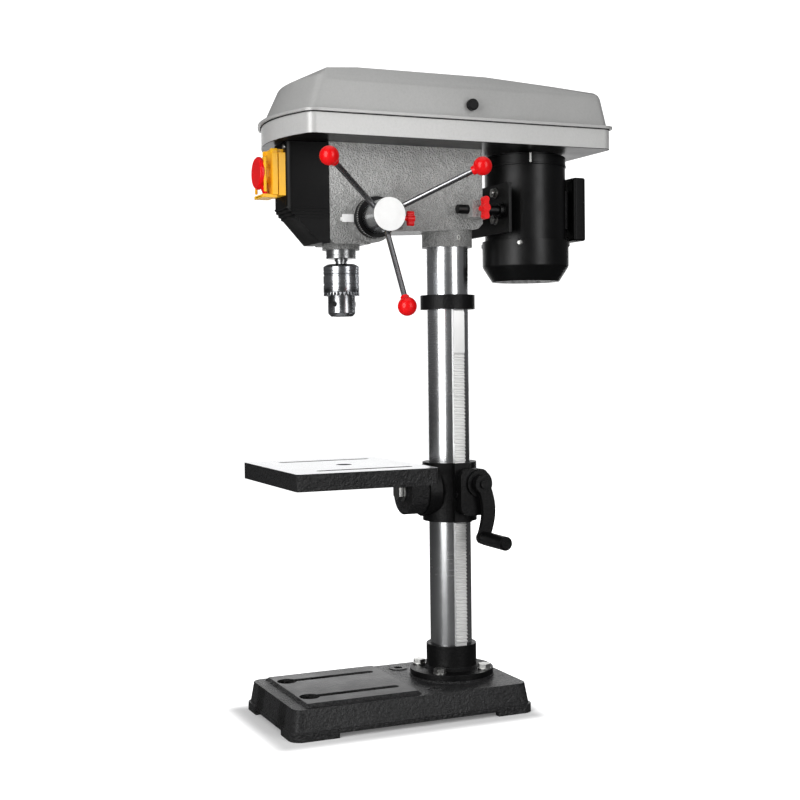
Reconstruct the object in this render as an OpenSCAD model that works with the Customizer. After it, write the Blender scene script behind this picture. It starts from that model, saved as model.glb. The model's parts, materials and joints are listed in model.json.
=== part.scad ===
// Bench drill press with a rack-lifted tilting table, stepped belt drive and a rear slide-mounted motor.
// Millimetres, +Z up, -Y is the operator's side, +X is the feed-handle side.
// The origin lies on the bench, midway between the two bench-bolt holes.

/* [Base] */
// Width of the base at its bottom lip
base_w = 223; // [190:1:260]
// Length of the base at its bottom lip
base_l = 390; // [355:1:430]
// Height of the base's top face
base_h = 44; // [36:1:55]
// Wall thickness of the base casting
base_wall = 8; // [6:0.5:12]
// Distance between the two bench-bolt holes
bench_bolt_gap = 146; // [130:1:150]
// Diameter of the bench-bolt holes
bench_hole_d = 13; // [8:0.5:13]
// Distance between the two slots in the base
base_slot_gap = 102; // [80:1:120]
// Width of the base slots
base_slot_w = 13; // [8:0.5:16]

/* [Column] */
// Outer diameter of the column
column_d = 65; // [58:0.5:70]
// Wall thickness of the column tube
column_wall = 4; // [3:0.5:8]
// Distance of the bench bolts in front of the column axis
column_y = 60; // [50:1:66]
// Wall of the sockets that hold the column
socket_wall = 6.5; // [5:0.5:9]
// Height of the column flange's upper rim
flange_top_z = 95; // [80:1:110]
// Bolt circle of the column flange
flange_pcd = 108; // [100:1:112]
// Diameter of the column flange bolts
flange_bolt_d = 10; // [8:1:12]
// Width of the lifting rack
rack_w = 18; // [14:0.5:18.5]
// Height of the rack collar's lower face
rack_collar_z = 615.5; // [560:0.5:640]

/* [Table] */
// Width of the table
table_w = 252; // [220:1:290]
// Depth of the table, front to back
table_l = 219; // [200:1:240]
// Height of the table's edge
table_t = 25; // [20:1:32]
// Height of the table's top face above the bench
table_z = 381.6; // [340:0.5:420]
// Thickness of the table's top plate
table_plate = 9; // [7:0.5:14]
// Distance between the two table slots
table_slot_gap = 170; // [140:1:190]
// Length of the table slots, end to end
table_slot_l = 150; // [100:1:170]
// Width of the table slots
table_slot_w = 12; // [8:0.5:16]
// Diameter of the hole under the chuck
table_hole_d = 24; // [16:1:30]
// Radius of the tilting knuckle
knuckle_r = 36; // [32:0.5:38]
// Diameter of the tilt bolt
tilt_bolt_d = 16; // [12:1:18]

/* [Table lift] */
// Height of the table bracket's sleeve
bracket_h = 91; // [85:1:100]
// Wall thickness of the bracket's sleeve
bracket_wall = 9.7; // [8:0.1:12]
// Radius of the crank, shaft to grip
crank_r = 82; // [60:1:82]
// How far the crank's arm bows to the rear
crank_bow = 9; // [0:1:12]
// Diameter of the crank grip
grip_d = 21; // [16:0.5:21]
// Length of the crank grip
grip_l = 72; // [55:1:90]

/* [Head] */
// Distance from the column axis to the spindle axis
throat = 176.5; // [176.5:0.5:200]
// Width of the head casting
head_w = 80; // [80:1:96]
// Height of the head casting's top face
head_top_z = 859.5; // [850:0.5:900]
// Height of the head's underside at the quill
head_nose_z = 711; // [700:0.5:725]
// Depth of the front cover ahead of the head casting
front_cover_l = 63; // [50:1:80]
// Wall thickness of the front cover
front_cover_wall = 3; // [2:0.5:4]

/* [Quill and spindle] */
// Outer diameter of the quill
quill_d = 45; // [42:0.5:48]
// Travel of the quill
quill_travel = 60; // [40:1:60]
// Diameter of the spindle below the quill
spindle_d = 17; // [14:0.5:18]
// Outer diameter of the chuck's sleeve
chuck_d = 54.6; // [50:0.2:60]
// Diameter of the chuck's nose
chuck_nose_d = 41.6; // [38:0.2:44]
// Number of key teeth on the chuck's sleeve
chuck_teeth = 30; // [20:1:40]

/* [Feed] */
// Distance of the feed shaft behind the spindle axis
feed_gap = 31; // [30.9:0.1:31.5]
// Height of the feed shaft
feed_z = 748.5; // [745:0.5:752]
// Number of teeth on both pinions
pinion_teeth = 12; // [12:1:12]
// Diameter of the feed shaft
feed_shaft_d = 16; // [14:0.5:18]
// Diameter of the feed hub
hub_d = 48; // [40:1:54]
// Radius of the circle through the handle balls
handle_r = 134.5; // [110:0.5:150]
// Diameter of the handle balls
ball_d = 27; // [22:0.5:34]
// Diameter of the handle rods
rod_d = 8; // [6:0.5:10]

/* [Belt cover] */
// Width of the belt cover's pan
cover_w = 216; // [206:1:240]
// Reach of the pan ahead of the spindle axis
cover_front = 111.5; // [105:0.5:130]
// Reach of the pan behind the motor axis
cover_rear = 96; // [76:0.5:100]
// Height of the pan
pan_h = 30; // [25:0.5:40]
// Height of the lid above the pan
lid_h = 72; // [68:0.5:90]
// Wall thickness of the pan and lid
cover_wall = 2; // [1.5:0.25:4]

/* [Motor] */
// Distance of the motor axis behind the column axis
motor_gap = 138.7; // [136:0.1:150]
// Diameter of the motor body
motor_d = 128; // [110:1:130]
// Diameter of the motor's fan cover
fan_cover_d = 137; // [118:1:140]
// Height of the fan cover's lower face
motor_bottom_z = 659.5; // [645:0.5:670]
// Distance between the two motor slide bars
slide_bar_gap = 112; // [108:1:120]
// Diameter of the motor slide bars
slide_bar_d = 14; // [12:0.5:16]

/* [Fits] */
// Radial clearance of turning and sliding fits
run_gap = 0.06; // [0.03:0.01:0.1]
// Clearance between surfaces that pass without touching
pass_gap = 0.4; // [0.3:0.05:1]

/* [Hidden] */
$fn = 64;
eps = 0.01;

// Colours
iron_black = "#1d1e20";
hammer_grey = "#8d8d8a";
cover_grey = "#b9bab8";
bright = "#c9cbcd";
plastic_black = "#151516";
signal_red = "#d0101c";
signal_yellow = "#f6b316";

// Shared heights and radii
column_r = column_d / 2;
socket_r = column_r + socket_wall;
flange_r = flange_pcd / 2 + 11;
boss_h = 3.5;
flange_z = base_h + boss_h;
flange_t = 9;
pad_h = 5;
bolt_head_h = 6.5;

// Rack and pinion, stub involute teeth
tooth_module = 1.75;
tooth_pitch = PI * tooth_module;
pinion_r = tooth_module * pinion_teeth / 2;
pressure_angle = 20;
pinion_add = 1.4;
rack_add = 1.2;
tooth_clear = 0.4;
backlash = 0.3;

// Table lift
bracket_r = column_r + bracket_wall;
bracket_top_z = table_z - 2.6;
bracket_z = bracket_top_z - bracket_h;
knuckle_z = table_z - 45.6;
knuckle_front = 80;
knuckle_seam = 50;
table_rear = 76.6;
rack_back_x = column_r + 0.3;
rack_pitch_x = column_r + 6.7;
rack_tip_x = rack_pitch_x + rack_add;
lift_gear_x = rack_pitch_x + pinion_r;
worm_y = 18;
worm_r = 6;
worm_z = bracket_top_z - 30;
lift_gear_z = worm_z - worm_r - (pinion_r + pinion_add) - pass_gap;
gearbox_x = lift_gear_x + pinion_r + pinion_add + 4;
gearbox_boss_r = 20.5;
crank_x = gearbox_x + 7;
crank_t = 10;

// Head
spindle_y = -throat;
head_front = spindle_y - 31.5;
head_rear = column_r + 10;
head_hw = head_w / 2;
feed_y = spindle_y + feed_gap;
feed_boss_r = 36;
feed_boss_x = head_hw + 12;
bush_x = 17.5;
column_top_z = head_top_z - 17.5;
quill_r = quill_d / 2;
quill_z = head_nose_z - 19.6;
quill_top_z = feed_z + quill_travel + 13.5;
quill_rack_y = spindle_y + feed_gap - pinion_r;
spindle_r = spindle_d / 2;
spline_r = spindle_r - 2;
sleeve_r = spline_r + 4;
bearing_r = sleeve_r + 11;
bearing_h = 12;

// Chuck
chuck_r = chuck_d / 2;
chuck_nose_r = chuck_nose_d / 2;
chuck_top_z = quill_z - 8.6;
chuck_bottom_z = chuck_top_z - 78.2;
chuck_seat_z = chuck_top_z - 20;
sleeve_top_z = chuck_top_z - 14.5;
sleeve_bottom_z = chuck_top_z - 47.2;
jaw_r = 3.6;
jaw_tilt = 15;
jaw_mouth_r = 11.4;
jaw_l = 36;

// Feed hub
ring_x = feed_boss_x + 1.5;
ring_t = 16;
ring_r = 30.3;
hub_x = ring_x + ring_t + 1;
hub_end_x = hub_x + 44;
rod_root_x = hub_end_x - 25;
rod_lean = 33.5;
handle_angles = [29, 149, 269];

// Belt cover and drive
pan_z = head_top_z;
lid_z = pan_z + pan_h + 1.2;
lid_lip = 5;
front_bow_r = 225;
cover_corner_r = 15;
idler_y = -35;
motor_y = motor_gap;
pulley_z = pan_z + 8.5;
step_h = 14;
groove_h = 9;
groove_depth = 9;
belt_h = 7;
belt_t = 8;
spindle_steps = [62, 53, 44, 35];
idler_steps = [38, 47, 56, 65];
motor_steps = [58, 49, 40, 31];
pulley_top_z = pulley_z + 4 * step_h;
post_r = 8;

// Motor
motor_r = motor_d / 2;
fan_cover_r = fan_cover_d / 2;
motor_top_z = pan_z - 2;
fan_cover_top_z = motor_bottom_z + 64;
motor_shaft_r = 7;
plate_y = motor_gap - motor_r - 6.5;
plate_t = 5;
plate_hw = 77;
plate_z = head_top_z - 128.5;
plate_h = 76;
bar_z = head_top_z - 94;
motor_bolt_x = 34;
motor_bolt_z = [bar_z - 12, bar_z + 29];
lug_y = 9;
lug_l = 28;
lug_h = 26;
lug_out = slide_bar_gap / 2 + 16 - head_w / 2;

// Switch
switch_y = head_front - front_cover_l;
switch_z = head_top_z - 79;
switch_h = 62;
switch_w = 50;
switch_d = 10;
flap_t = 8;
flap_axis_y = switch_y - switch_d - 4;
flap_axis_z = switch_z + switch_h + 4;
stop_z = head_top_z - 45.5;
start_z = switch_z + 14;

// ---------- Helpers ----------

function arc(cx, cy, r, a0, a1, n) =
    [for (i = [0 : n]) let (a = a0 + (a1 - a0) * i / n) [cx + r * cos(a), cy + r * sin(a)]];

// Rounded rectangle, centred
function round_rect(w, l, r, n = 5) = concat(
    arc(w / 2 - r, l / 2 - r, r, 0, 90, n),
    arc(r - w / 2, l / 2 - r, r, 90, 180, n),
    arc(r - w / 2, r - l / 2, r, 180, 270, n),
    arc(w / 2 - r, r - l / 2, r, 270, 360, n));

// Outline with straight sides, a bowed front and rounded corners
function cover_outline(hw, front, rear, bow_r, r, n = 5) =
    let (
        turn = asin((hw - r) / (bow_r - r)),
        bow_y = bow_r - front,
        corner_y = bow_y - (bow_r - r) * cos(turn)
    )
    concat(
        arc(r - hw, corner_y, r, 180, 270 - turn, n),
        arc(0, bow_y, bow_r, 271 - turn, 269 + turn, 2 * n),
        arc(hw - r, corner_y, r, 270 + turn, 360, n),
        arc(hw - r, rear - r, r, 0, 90, n),
        arc(r - hw, rear - r, r, 90, 180, n));

// The cover's outline, grown all round
function cover_grown(g) = cover_outline(
    cover_w / 2 + g, throat + cover_front + g, motor_y + cover_rear + g,
    front_bow_r + g, cover_corner_r + g);

// Outline of the lid at some height: pulled in by its own amount at the sides, front and rear
function lid_outline(side, front, rear) = cover_outline(
    cover_w / 2 - side, throat + cover_front - front, motor_y + cover_rear - rear,
    front_bow_r, cover_corner_r - 1);

// Loop of a belt round two pulleys that stand on the Y axis
function belt_loop(y1, r1, y2, r2, n = 24) =
    let (lean = asin((r1 - r2) / (y2 - y1)))
    concat(arc(0, y2, r2, lean, 180 - lean, n), arc(0, y1, r1, 180 - lean, 360 + lean, n));

function involute_angle(t) = t * 180 / PI - atan(t);

// Outline of the pinion, one tooth on +X
function pinion_outline(n = 4) =
    let (
        base_r = pinion_r * cos(pressure_angle),
        tip_r = pinion_r + pinion_add,
        root_r = pinion_r - rack_add - tooth_clear,
        half = (tooth_pitch / 2 - backlash) / 2 / pinion_r * 180 / PI
            + involute_angle(tan(pressure_angle)),
        t_tip = sqrt(pow(tip_r / base_r, 2) - 1)
    )
    [for (k = [0 : pinion_teeth - 1]) let (c = k * 360 / pinion_teeth)
        each concat(
            [[root_r * cos(c - half), root_r * sin(c - half)]],
            [for (i = [0 : n]) let (t = t_tip * i / n, r = base_r * sqrt(1 + t * t),
                a = c - half + involute_angle(t)) [r * cos(a), r * sin(a)]],
            [for (i = [0 : n]) let (t = t_tip * (n - i) / n, r = base_r * sqrt(1 + t * t),
                a = c + half - involute_angle(t)) [r * cos(a), r * sin(a)]],
            [[root_r * cos(c + half), root_r * sin(c + half)]])];

// Toothed edge of a rack that meshes with the pinion: pitch line at p, a space at height zc
function rack_edge(p, z0, z1, zc) =
    let (
        w = (tooth_pitch / 2 - backlash) / 2,
        w_tip = w - rack_add * tan(pressure_angle),
        w_root = w + (pinion_add + tooth_clear) * tan(pressure_angle),
        tip = p + rack_add,
        root = p - pinion_add - tooth_clear,
        k0 = ceil((z0 + w_root - zc) / tooth_pitch - 0.5),
        k1 = floor((z1 - w_root - zc) / tooth_pitch - 0.5)
    )
    [for (k = [k0 : k1]) let (c = zc + (k + 0.5) * tooth_pitch)
        each [[root, c - w_root], [tip, c - w_tip], [tip, c + w_tip], [root, c + w_root]]];

module at_column() {
    translate([0, column_y, 0]) children();
}

// Prism from an outline in X and Y, between two heights
module prism(pts, z0, z1) {
    translate([0, 0, z0]) linear_extrude(z1 - z0) polygon(pts);
}

// Prism from an outline in Y and Z, between two places on X
module prism_x(pts, x0, x1) {
    translate([x0, 0, 0]) rotate([90, 0, 90]) linear_extrude(x1 - x0) polygon(pts);
}

// Prism from an outline in X and Z, centred on a place on Y
module prism_y(pts, y, l) {
    translate([0, y, 0]) rotate([90, 0, 0]) linear_extrude(l, center = true) polygon(pts);
}

module rod_x(r, x0, x1, y = 0, z = 0) {
    translate([x0, y, z]) rotate([0, 90, 0]) cylinder(r = r, h = x1 - x0);
}

module rod_y(r, y0, y1, x = 0, z = 0) {
    translate([x, y0, z]) rotate([-90, 0, 0]) cylinder(r = r, h = y1 - y0);
}

module rod_z(r, z0, z1, x = 0, y = 0) {
    translate([x, y, z0]) cylinder(r = r, h = z1 - z0);
}

module box(x0, x1, y0, y1, z0, z1) {
    translate([x0, y0, z0]) cube([x1 - x0, y1 - y0, z1 - z0]);
}

module ring_z(r_out, r_in, z0, z1) {
    difference() {
        rod_z(r_out, z0, z1);
        rod_z(r_in, z0 - 1, z1 + 1);
    }
}

// Slot along Y, with its middle at x, y
module slot_y(w, l, x, y, z0, z1) {
    box(x - w / 2, x + w / 2, y - l / 2 + w / 2, y + l / 2 - w / 2, z0, z1);
    rod_z(w / 2, z0, z1, x, y - l / 2 + w / 2);
    rod_z(w / 2, z0, z1, x, y + l / 2 - w / 2);
}

module at_flange_bolts() {
    for (a = [45 : 90 : 315])
        rotate([0, 0, a]) translate([flange_pcd / 2, 0, 0]) children();
}

module hex_head(af, h) {
    cylinder(r = af / 2 / cos(30), h = h, $fn = 6);
}

// Wing knob that screws along +Z from the origin: stem, boss and two wings
module wing_knob(stem_r, stem_l, boss_r, wing_l, t) {
    cylinder(r = stem_r, h = stem_l + t / 2);
    translate([0, 0, stem_l]) cylinder(r = boss_r, h = t);
    for (s = [-1, 1]) {
        translate([s * wing_l / 4, 0, stem_l + t / 2])
            cube([wing_l / 2 + 2, t * 0.55, t * 0.8], center = true);
        translate([s * wing_l / 2, 0, stem_l + t * 0.1])
            cylinder(r = t * 0.34, h = t * 0.8);
    }
}

// ---------- Base and column ----------

base_mid_y = -108;
base_len_top = base_l - 16;
base_w_top = base_w - 17;
pad_w = 189;
pad_l = 183.7;
pad_y = -185.15;
base_slot_front = -261.5;
base_slot_rear = -113;

module base_shell(drop, z0, z1) {
    hull() {
        translate([0, base_mid_y, 0])
            prism(round_rect(base_w - 6 - 2 * drop, base_l - 6 - 2 * drop, 16 - drop), z0, z0 + eps);
        translate([0, base_mid_y, 0])
            prism(round_rect(base_w_top - 2 * drop, base_len_top - 2 * drop, 14 - drop), z1 - eps, z1);
    }
}

module base_pad() {
    hull() {
        translate([0, pad_y, 0]) prism(round_rect(pad_w, pad_l, 3, 2), base_h - 1, base_h);
        translate([0, pad_y, 0])
            prism(round_rect(pad_w - 2 * pad_h, pad_l - 2 * pad_h, 2, 2), base_h, base_h + pad_h);
    }
}

module base_casting() {
    color(iron_black) at_column() difference() {
        union() {
            difference() {
                union() {
                    translate([0, base_mid_y, 0]) prism(round_rect(base_w, base_l, 18), 0, 13);
                    base_shell(0, 12, base_h);
                }
                base_shell(base_wall, -1, base_h - base_wall);
                // Gaps between the four feet
                box(-base_w, base_w, base_mid_y - base_l / 2 + 72, base_mid_y + base_l / 2 - 62, -1, 7);
                box(-base_w / 2 + 52, base_w / 2 - 52, base_mid_y - base_l, -column_y - 30, -1, 7);
                box(-base_w / 2 + 52, base_w / 2 - 52, 30, base_mid_y + base_l, -1, 7);
            }
            base_pad();
            rod_z(flange_r + 1, base_h - 16, flange_z);
            // Pillars that stand on the bench round its bolts
            for (s = [-1, 1])
                rod_z(15, 0, base_h + 1.2, s * bench_bolt_gap / 2, -column_y);
        }
        for (s = [-1, 1]) {
            rod_z(bench_hole_d / 2, -1, base_h + 5, s * bench_bolt_gap / 2, -column_y);
            slot_y(base_slot_w, base_slot_rear - base_slot_front, s * base_slot_gap / 2,
                (base_slot_rear + base_slot_front) / 2, base_h - 2 * base_wall, base_h + 10);
            rod_z(base_slot_w + 2, base_h - 2 * base_wall, base_h + 10, s * base_slot_gap / 2,
                base_slot_front + base_slot_w / 2);
        }
        at_flange_bolts() rod_z(flange_bolt_d / 2 + run_gap, base_h - 20, flange_z + 1);
        // Hollow under the column
        rod_z(column_r - 6, base_h - 20, flange_z + 1);
    }
}

module column_flange() {
    color(iron_black) at_column() difference() {
        union() {
            rod_z(flange_r, flange_z, flange_z + flange_t);
            rod_z(socket_r, flange_z + 1, flange_top_z);
            translate([0, 0, flange_z + flange_t - eps])
                cylinder(r1 = socket_r + 5, r2 = socket_r - eps, h = 5);
        }
        rod_z(column_r + run_gap, flange_z - 1, flange_top_z + 1);
        at_flange_bolts() rod_z(flange_bolt_d / 2 + 0.5, flange_z - 1, flange_z + flange_t + 10);
    }
}

module flange_bolts() {
    color(bright) at_column() at_flange_bolts() {
        rod_z(flange_bolt_d / 2, base_h - 14, flange_z + flange_t + 2);
        rod_z(flange_bolt_d, flange_z + flange_t, flange_z + flange_t + 1.8);
        translate([0, 0, flange_z + flange_t + 1.8]) hex_head(flange_bolt_d * 1.7, bolt_head_h);
    }
}

module column_tube() {
    color(bright) at_column() ring_z(column_r, column_r - column_wall, flange_z, column_top_z);
}

module rack_collar() {
    color(iron_black) at_column() difference() {
        rod_z(column_r + 9.85, rack_collar_z, rack_collar_z + 22);
        rod_z(column_r + run_gap, rack_collar_z - 1, rack_collar_z + 23);
        rotate([0, 0, 120]) rod_x(3.1, 20, 60, 0, rack_collar_z + 11);
    }
}

// Two screws lock the head on the column, one locks the rack collar and two hold the front cover
module small_screws() {
    color(plastic_black) at_column() {
        for (a = [3, 183]) rotate([0, 0, a])
            set_screw(4, column_r + 0.2, socket_r - 2, head_nose_z + 13.6);
        rotate([0, 0, 120]) set_screw(3, column_r + 0.2, column_r + 9, rack_collar_z + 11);
        for (s = [-1, 1]) {
            rod_y(2, switch_y - 0.5, switch_y + 8, s * 21, head_top_z - 8);
            rod_y(3.6, switch_y - 2.2, switch_y, s * 21, head_top_z - 8);
        }
    }
}

module set_screw(r, x0, x1, z) {
    difference() {
        rod_x(r, x0, x1, 0, z);
        translate([x1 - 3, 0, z]) rotate([0, 90, 0]) cylinder(r = r * 0.6, h = 5, $fn = 6);
    }
}

module rack() {
    teeth = rack_edge(rack_pitch_x, flange_top_z + 4, rack_collar_z - 68, lift_gear_z);
    pts = concat(
        [[rack_back_x, flange_top_z + pass_gap], [rack_tip_x - 3, flange_top_z + pass_gap]],
        teeth,
        [[rack_tip_x, rack_collar_z - 66], [rack_tip_x, rack_collar_z - 6],
         [rack_tip_x - 3, rack_collar_z - pass_gap], [rack_back_x, rack_collar_z - pass_gap]]);
    color(bright) at_column() prism_y(pts, 0, rack_w);
}

// ---------- Table lift ----------

module table_bracket() {
    slit = 5;
    color(iron_black) at_column() difference() {
        union() {
            rod_z(bracket_r, bracket_z, bracket_top_z);
            // Front boss for the table
            rod_y(knuckle_r + 4, -knuckle_seam, -bracket_r + 12, 0, knuckle_z);
            // Housing of the rack and the lifting gear
            box(20, rack_tip_x + 8, -rack_w / 2 - 5, rack_w / 2 + 5, bracket_z, bracket_top_z);
            translate([20, (worm_y + 17 - rack_w / 2 - 3) / 2, (bracket_z + bracket_top_z + 4) / 2])
                rotate([90, 0, 90]) linear_extrude(gearbox_x - 20)
                    polygon(round_rect(worm_y + 20 + rack_w / 2, bracket_top_z - bracket_z - 20, 13));
            rod_x(gearbox_boss_r, 30, gearbox_x + 5, worm_y, worm_z);
            // Clamping ears
            box(-bracket_r - 24, -30, -slit / 2 - 12, slit / 2 + 12, bracket_z + 22, bracket_z + 62);
        }
        rod_z(column_r + run_gap, bracket_z - 1, bracket_top_z + 1);
        box(0, rack_tip_x + 0.5, -rack_w / 2 - pass_gap, rack_w / 2 + pass_gap,
            bracket_z - 1, bracket_top_z + 1);
        box(-bracket_r - 30, -20, -slit / 2, slit / 2, bracket_z - 1, bracket_top_z + 1);
        // Lifting gear, its journals and the worm
        rod_y(pinion_r + pinion_add + 0.8, -rack_w / 2 - 0.6, worm_y + 9, lift_gear_x, lift_gear_z);
        rod_y(4 + run_gap, -rack_w / 2 - 4, worm_y + 14, lift_gear_x, lift_gear_z);
        rod_x(worm_r + 1, column_r + 7, gearbox_x - 2, worm_y, worm_z);
        rod_x(5 + run_gap, column_r + 2, gearbox_x + 6, worm_y, worm_z);
        // Tilt bolt and clamp screw
        rod_y(tilt_bolt_d / 2 + run_gap, -knuckle_seam - 1, -bracket_r + 6, 0, knuckle_z);
        rod_y(5 + run_gap, -30, 30, -bracket_r - 13, bracket_z + 42);
    }
}

module tilt_bolt() {
    color(bright) at_column() {
        rod_y(tilt_bolt_d / 2, -knuckle_front - 4, -bracket_r + 5, 0, knuckle_z);
        rod_y(tilt_bolt_d * 0.95, -knuckle_front - 2, -knuckle_front, 0, knuckle_z);
        translate([0, -knuckle_front - 2, knuckle_z]) rotate([90, 30, 0])
            hex_head(tilt_bolt_d * 1.5, 9);
    }
}

module lift_gear() {
    color(bright) at_column() {
        translate([lift_gear_x, -rack_w / 2, lift_gear_z]) rotate([-90, 0, 0])
            rotate([0, 0, 180]) linear_extrude(worm_y + 8 + rack_w / 2) polygon(pinion_outline());
        rod_y(4, -rack_w / 2 - 3.5, worm_y + 13.5, lift_gear_x, lift_gear_z);
    }
}

// The worm's thread is drawn as rings
module worm_shaft() {
    color(bright) at_column() translate([0, worm_y, worm_z]) {
        rod_x(5, column_r + 2.5, crank_x + crank_t + 1);
        for (i = [0 : 2])
            rod_x(worm_r, lift_gear_x - 7 + i * tooth_pitch, lift_gear_x - 4.6 + i * tooth_pitch);
        rod_x(6.8, crank_x + crank_t + 1, crank_x + crank_t + 5);
    }
}

// The crank's arm bows to the rear between its two ends
function crank_outline() = concat(
    [for (i = [0 : 12]) [crank_bow * sin(15 * i) - 10.5 + i / 12, -crank_r * i / 12]],
    [for (i = [12 : -1 : 0]) [crank_bow * sin(15 * i) + 11 - i / 12, -crank_r * i / 12]]);

module crank_arm() {
    color(iron_black) at_column() translate([crank_x, worm_y, worm_z]) difference() {
        union() {
            rod_x(14, 0, crank_t + 1);
            translate([1, 0, 0]) rotate([90, 0, 90]) linear_extrude(crank_t - 1) polygon(crank_outline());
            rod_x(10, 1, crank_t, 0, -crank_r);
        }
        rod_x(5 + run_gap, -1, crank_t + 2);
        rod_x(4 + run_gap, -1, crank_t + 2, 0, -crank_r);
    }
}

module crank_grip() {
    color(plastic_black) at_column() translate([crank_x, worm_y, worm_z - crank_r]) {
        difference() {
            union() {
                rod_x(grip_d / 2 - 1.5, crank_t + 0.4, crank_t + 5);
                rod_x(grip_d / 2, crank_t + 3, crank_t + grip_l - 3);
                rod_x(grip_d / 2 - 2, crank_t + grip_l - 4, crank_t + grip_l);
            }
            rod_x(grip_d / 2 - 6, crank_t + grip_l - 1, crank_t + grip_l + 1);
        }
        rod_x(4, -3, crank_t + 1);
        rod_x(6.5, -3, -0.4);
    }
}

module bracket_lock_handle() {
    x = -bracket_r - 13;
    z = bracket_z + 42;
    color(iron_black) at_column() {
        rod_y(5, -16, 26, x, z);
        rod_y(8, -20, -14.8, x, z);
        rod_y(9, 15, 26, x, z);
        translate([x, 21, z]) rotate([20, 0, 0]) rod_z(4, -62, 0);
        translate([x, 21, z]) rotate([20, 0, 0]) translate([0, 0, -66]) sphere(r = 9);
    }
}

module table() {
    ymid = -table_rear - table_l / 2;
    skirt = 8;
    color(iron_black) at_column() difference() {
        union() {
            translate([0, ymid, 0]) difference() {
                prism(round_rect(table_w, table_l, 6), table_z - table_t, table_z);
                prism(round_rect(table_w - 2 * skirt, table_l - 2 * skirt, 4),
                    table_z - table_t - 1, table_z - table_plate);
            }
            rod_y(knuckle_r, -knuckle_front, -knuckle_seam - 0.1, 0, knuckle_z);
            box(-30, 30, -knuckle_front - 40, -knuckle_front + 2,
                table_z - table_t - 4, table_z - table_plate + 1);
            rod_z(table_hole_d / 2 + 8, table_z - table_t, table_z - 1, 0, spindle_y);
            for (s = [-1, 1])
                box(s * 45 - 3, s * 45 + 3, ymid - table_l / 2 + 4, -table_rear - 4,
                    table_z - table_t + 6, table_z - 1);
        }
        rod_z(table_hole_d / 2, table_z - table_t - 1, table_z + 1, 0, spindle_y);
        for (s = [-1, 1])
            slot_y(table_slot_w, table_slot_l, s * table_slot_gap / 2, spindle_y,
                table_z - table_t - 1, table_z + 1);
        rod_y(tilt_bolt_d / 2 + run_gap, -knuckle_front - 1, -knuckle_seam + 1, 0, knuckle_z);
        // Room for the bolt's head, and a flat on the knuckle's top behind the table
        rod_y(17, -knuckle_front - 50, -knuckle_front, 0, knuckle_z);
        box(-60, 60, -table_rear + 0.1, -knuckle_seam + 1, table_z - table_plate - 6, table_z + 1);
    }
}

// ---------- Head ----------

head_profile = [
    [head_front, head_nose_z + 6], [head_front + 6, head_nose_z],
    [feed_y, head_nose_z], [feed_y + 18, head_nose_z + 19],
    [-column_r - 8, head_nose_z + 22], [head_rear - 8, head_nose_z + 27],
    [head_rear, head_nose_z + 35], [head_rear, head_top_z], [head_front, head_top_z]
];

module head_casting() {
    color(hammer_grey) at_column() difference() {
        union() {
            prism_x(head_profile, -head_hw, head_hw);
            // Parting bead down both sides
            box(-head_hw - 0.8, head_hw + 0.8, -23.5, -21.5, head_nose_z + 30, head_top_z - 2);
            // Column socket and the machined nose round the quill
            rod_z(socket_r, head_nose_z, head_nose_z + 40);
            rod_z(quill_r + 5.7, head_nose_z - 7, head_nose_z + 5, 0, spindle_y);
            rod_x(feed_boss_r, head_hw - 10, feed_boss_x, feed_y, feed_z);
            rod_x(30, -head_hw - 8, -head_hw + 10, feed_y, feed_z);
            // Lugs that hold the motor slide bars
            for (s = [-1, 1])
                box(s * (head_hw + lug_out / 2 - 1) - lug_out / 2 - 1,
                    s * (head_hw + lug_out / 2 - 1) + lug_out / 2 + 1,
                    lug_y, lug_y + lug_l, bar_z - lug_h / 2, bar_z + lug_h / 2);
        }
        rod_z(column_r + run_gap, head_nose_z - 1, column_top_z + 0.5);
        translate([0, spindle_y, 0]) {
            rod_z(quill_r + run_gap, head_nose_z - 10, quill_top_z + 4);
            rod_z(sleeve_r + 4, quill_top_z + 3, head_top_z - 31);
            rod_z(bearing_r + run_gap, head_top_z - 31.5, head_top_z + 1);
        }
        // Feed shaft: bush bore, pinion chamber and far bearing
        translate([0, feed_y, feed_z]) {
            rod_x(feed_shaft_d / 2 + 8 + run_gap, 15, feed_boss_x + 1);
            rod_x(pinion_r + pinion_add + 0.9, -15, 15.1);
            rod_x(feed_shaft_d / 2 + run_gap, -head_hw - 9, -14);
        }
        // Lightening pocket, open under the pan
        box(-head_hw + 7, head_hw - 7, feed_y + 22, -column_r - 9, head_nose_z + 36, head_top_z + 1);
        // Slide bars and the lock screw
        for (s = [-1, 1])
            rod_y(slide_bar_d / 2 + run_gap, lug_y - 1, lug_y + lug_l + 1,
                s * slide_bar_gap / 2, bar_z);
        rod_x(4 + run_gap, slide_bar_gap / 2, head_hw + lug_out + 5, lug_y + lug_l / 2, bar_z);
        for (a = [3, 183])
            rotate([0, 0, a]) rod_x(4 + run_gap, 20, 60, 0, head_nose_z + 13.6);
        // Idler post, pulley guard holes and the gland of the mains lead
        rod_z(post_r + run_gap, head_top_z - 14, head_top_z + 1, 0, idler_y);
        rod_x(8 + run_gap, -60, -head_hw + 8, feed_y + 60, head_nose_z + 70);
        for (s = [-1, 1])
            for (z = [head_nose_z + 50, head_top_z - 25])
                rod_y(1.75, head_front - 1, head_front + 12, s * (head_hw - 6), z);
    }
}

// Plan of the front cover: narrows towards the front
function cover_plan(d) = [
    [head_hw - 2 - d, head_front + 1], [head_hw - 8 - d, switch_y + 8],
    [head_hw - 12 - d, switch_y + 2], [head_hw - 16 - d, switch_y + d],
    [16 + d - head_hw, switch_y + d], [12 + d - head_hw, switch_y + 2],
    [8 + d - head_hw, switch_y + 8], [2 + d - head_hw, head_front + 1]
];

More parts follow.
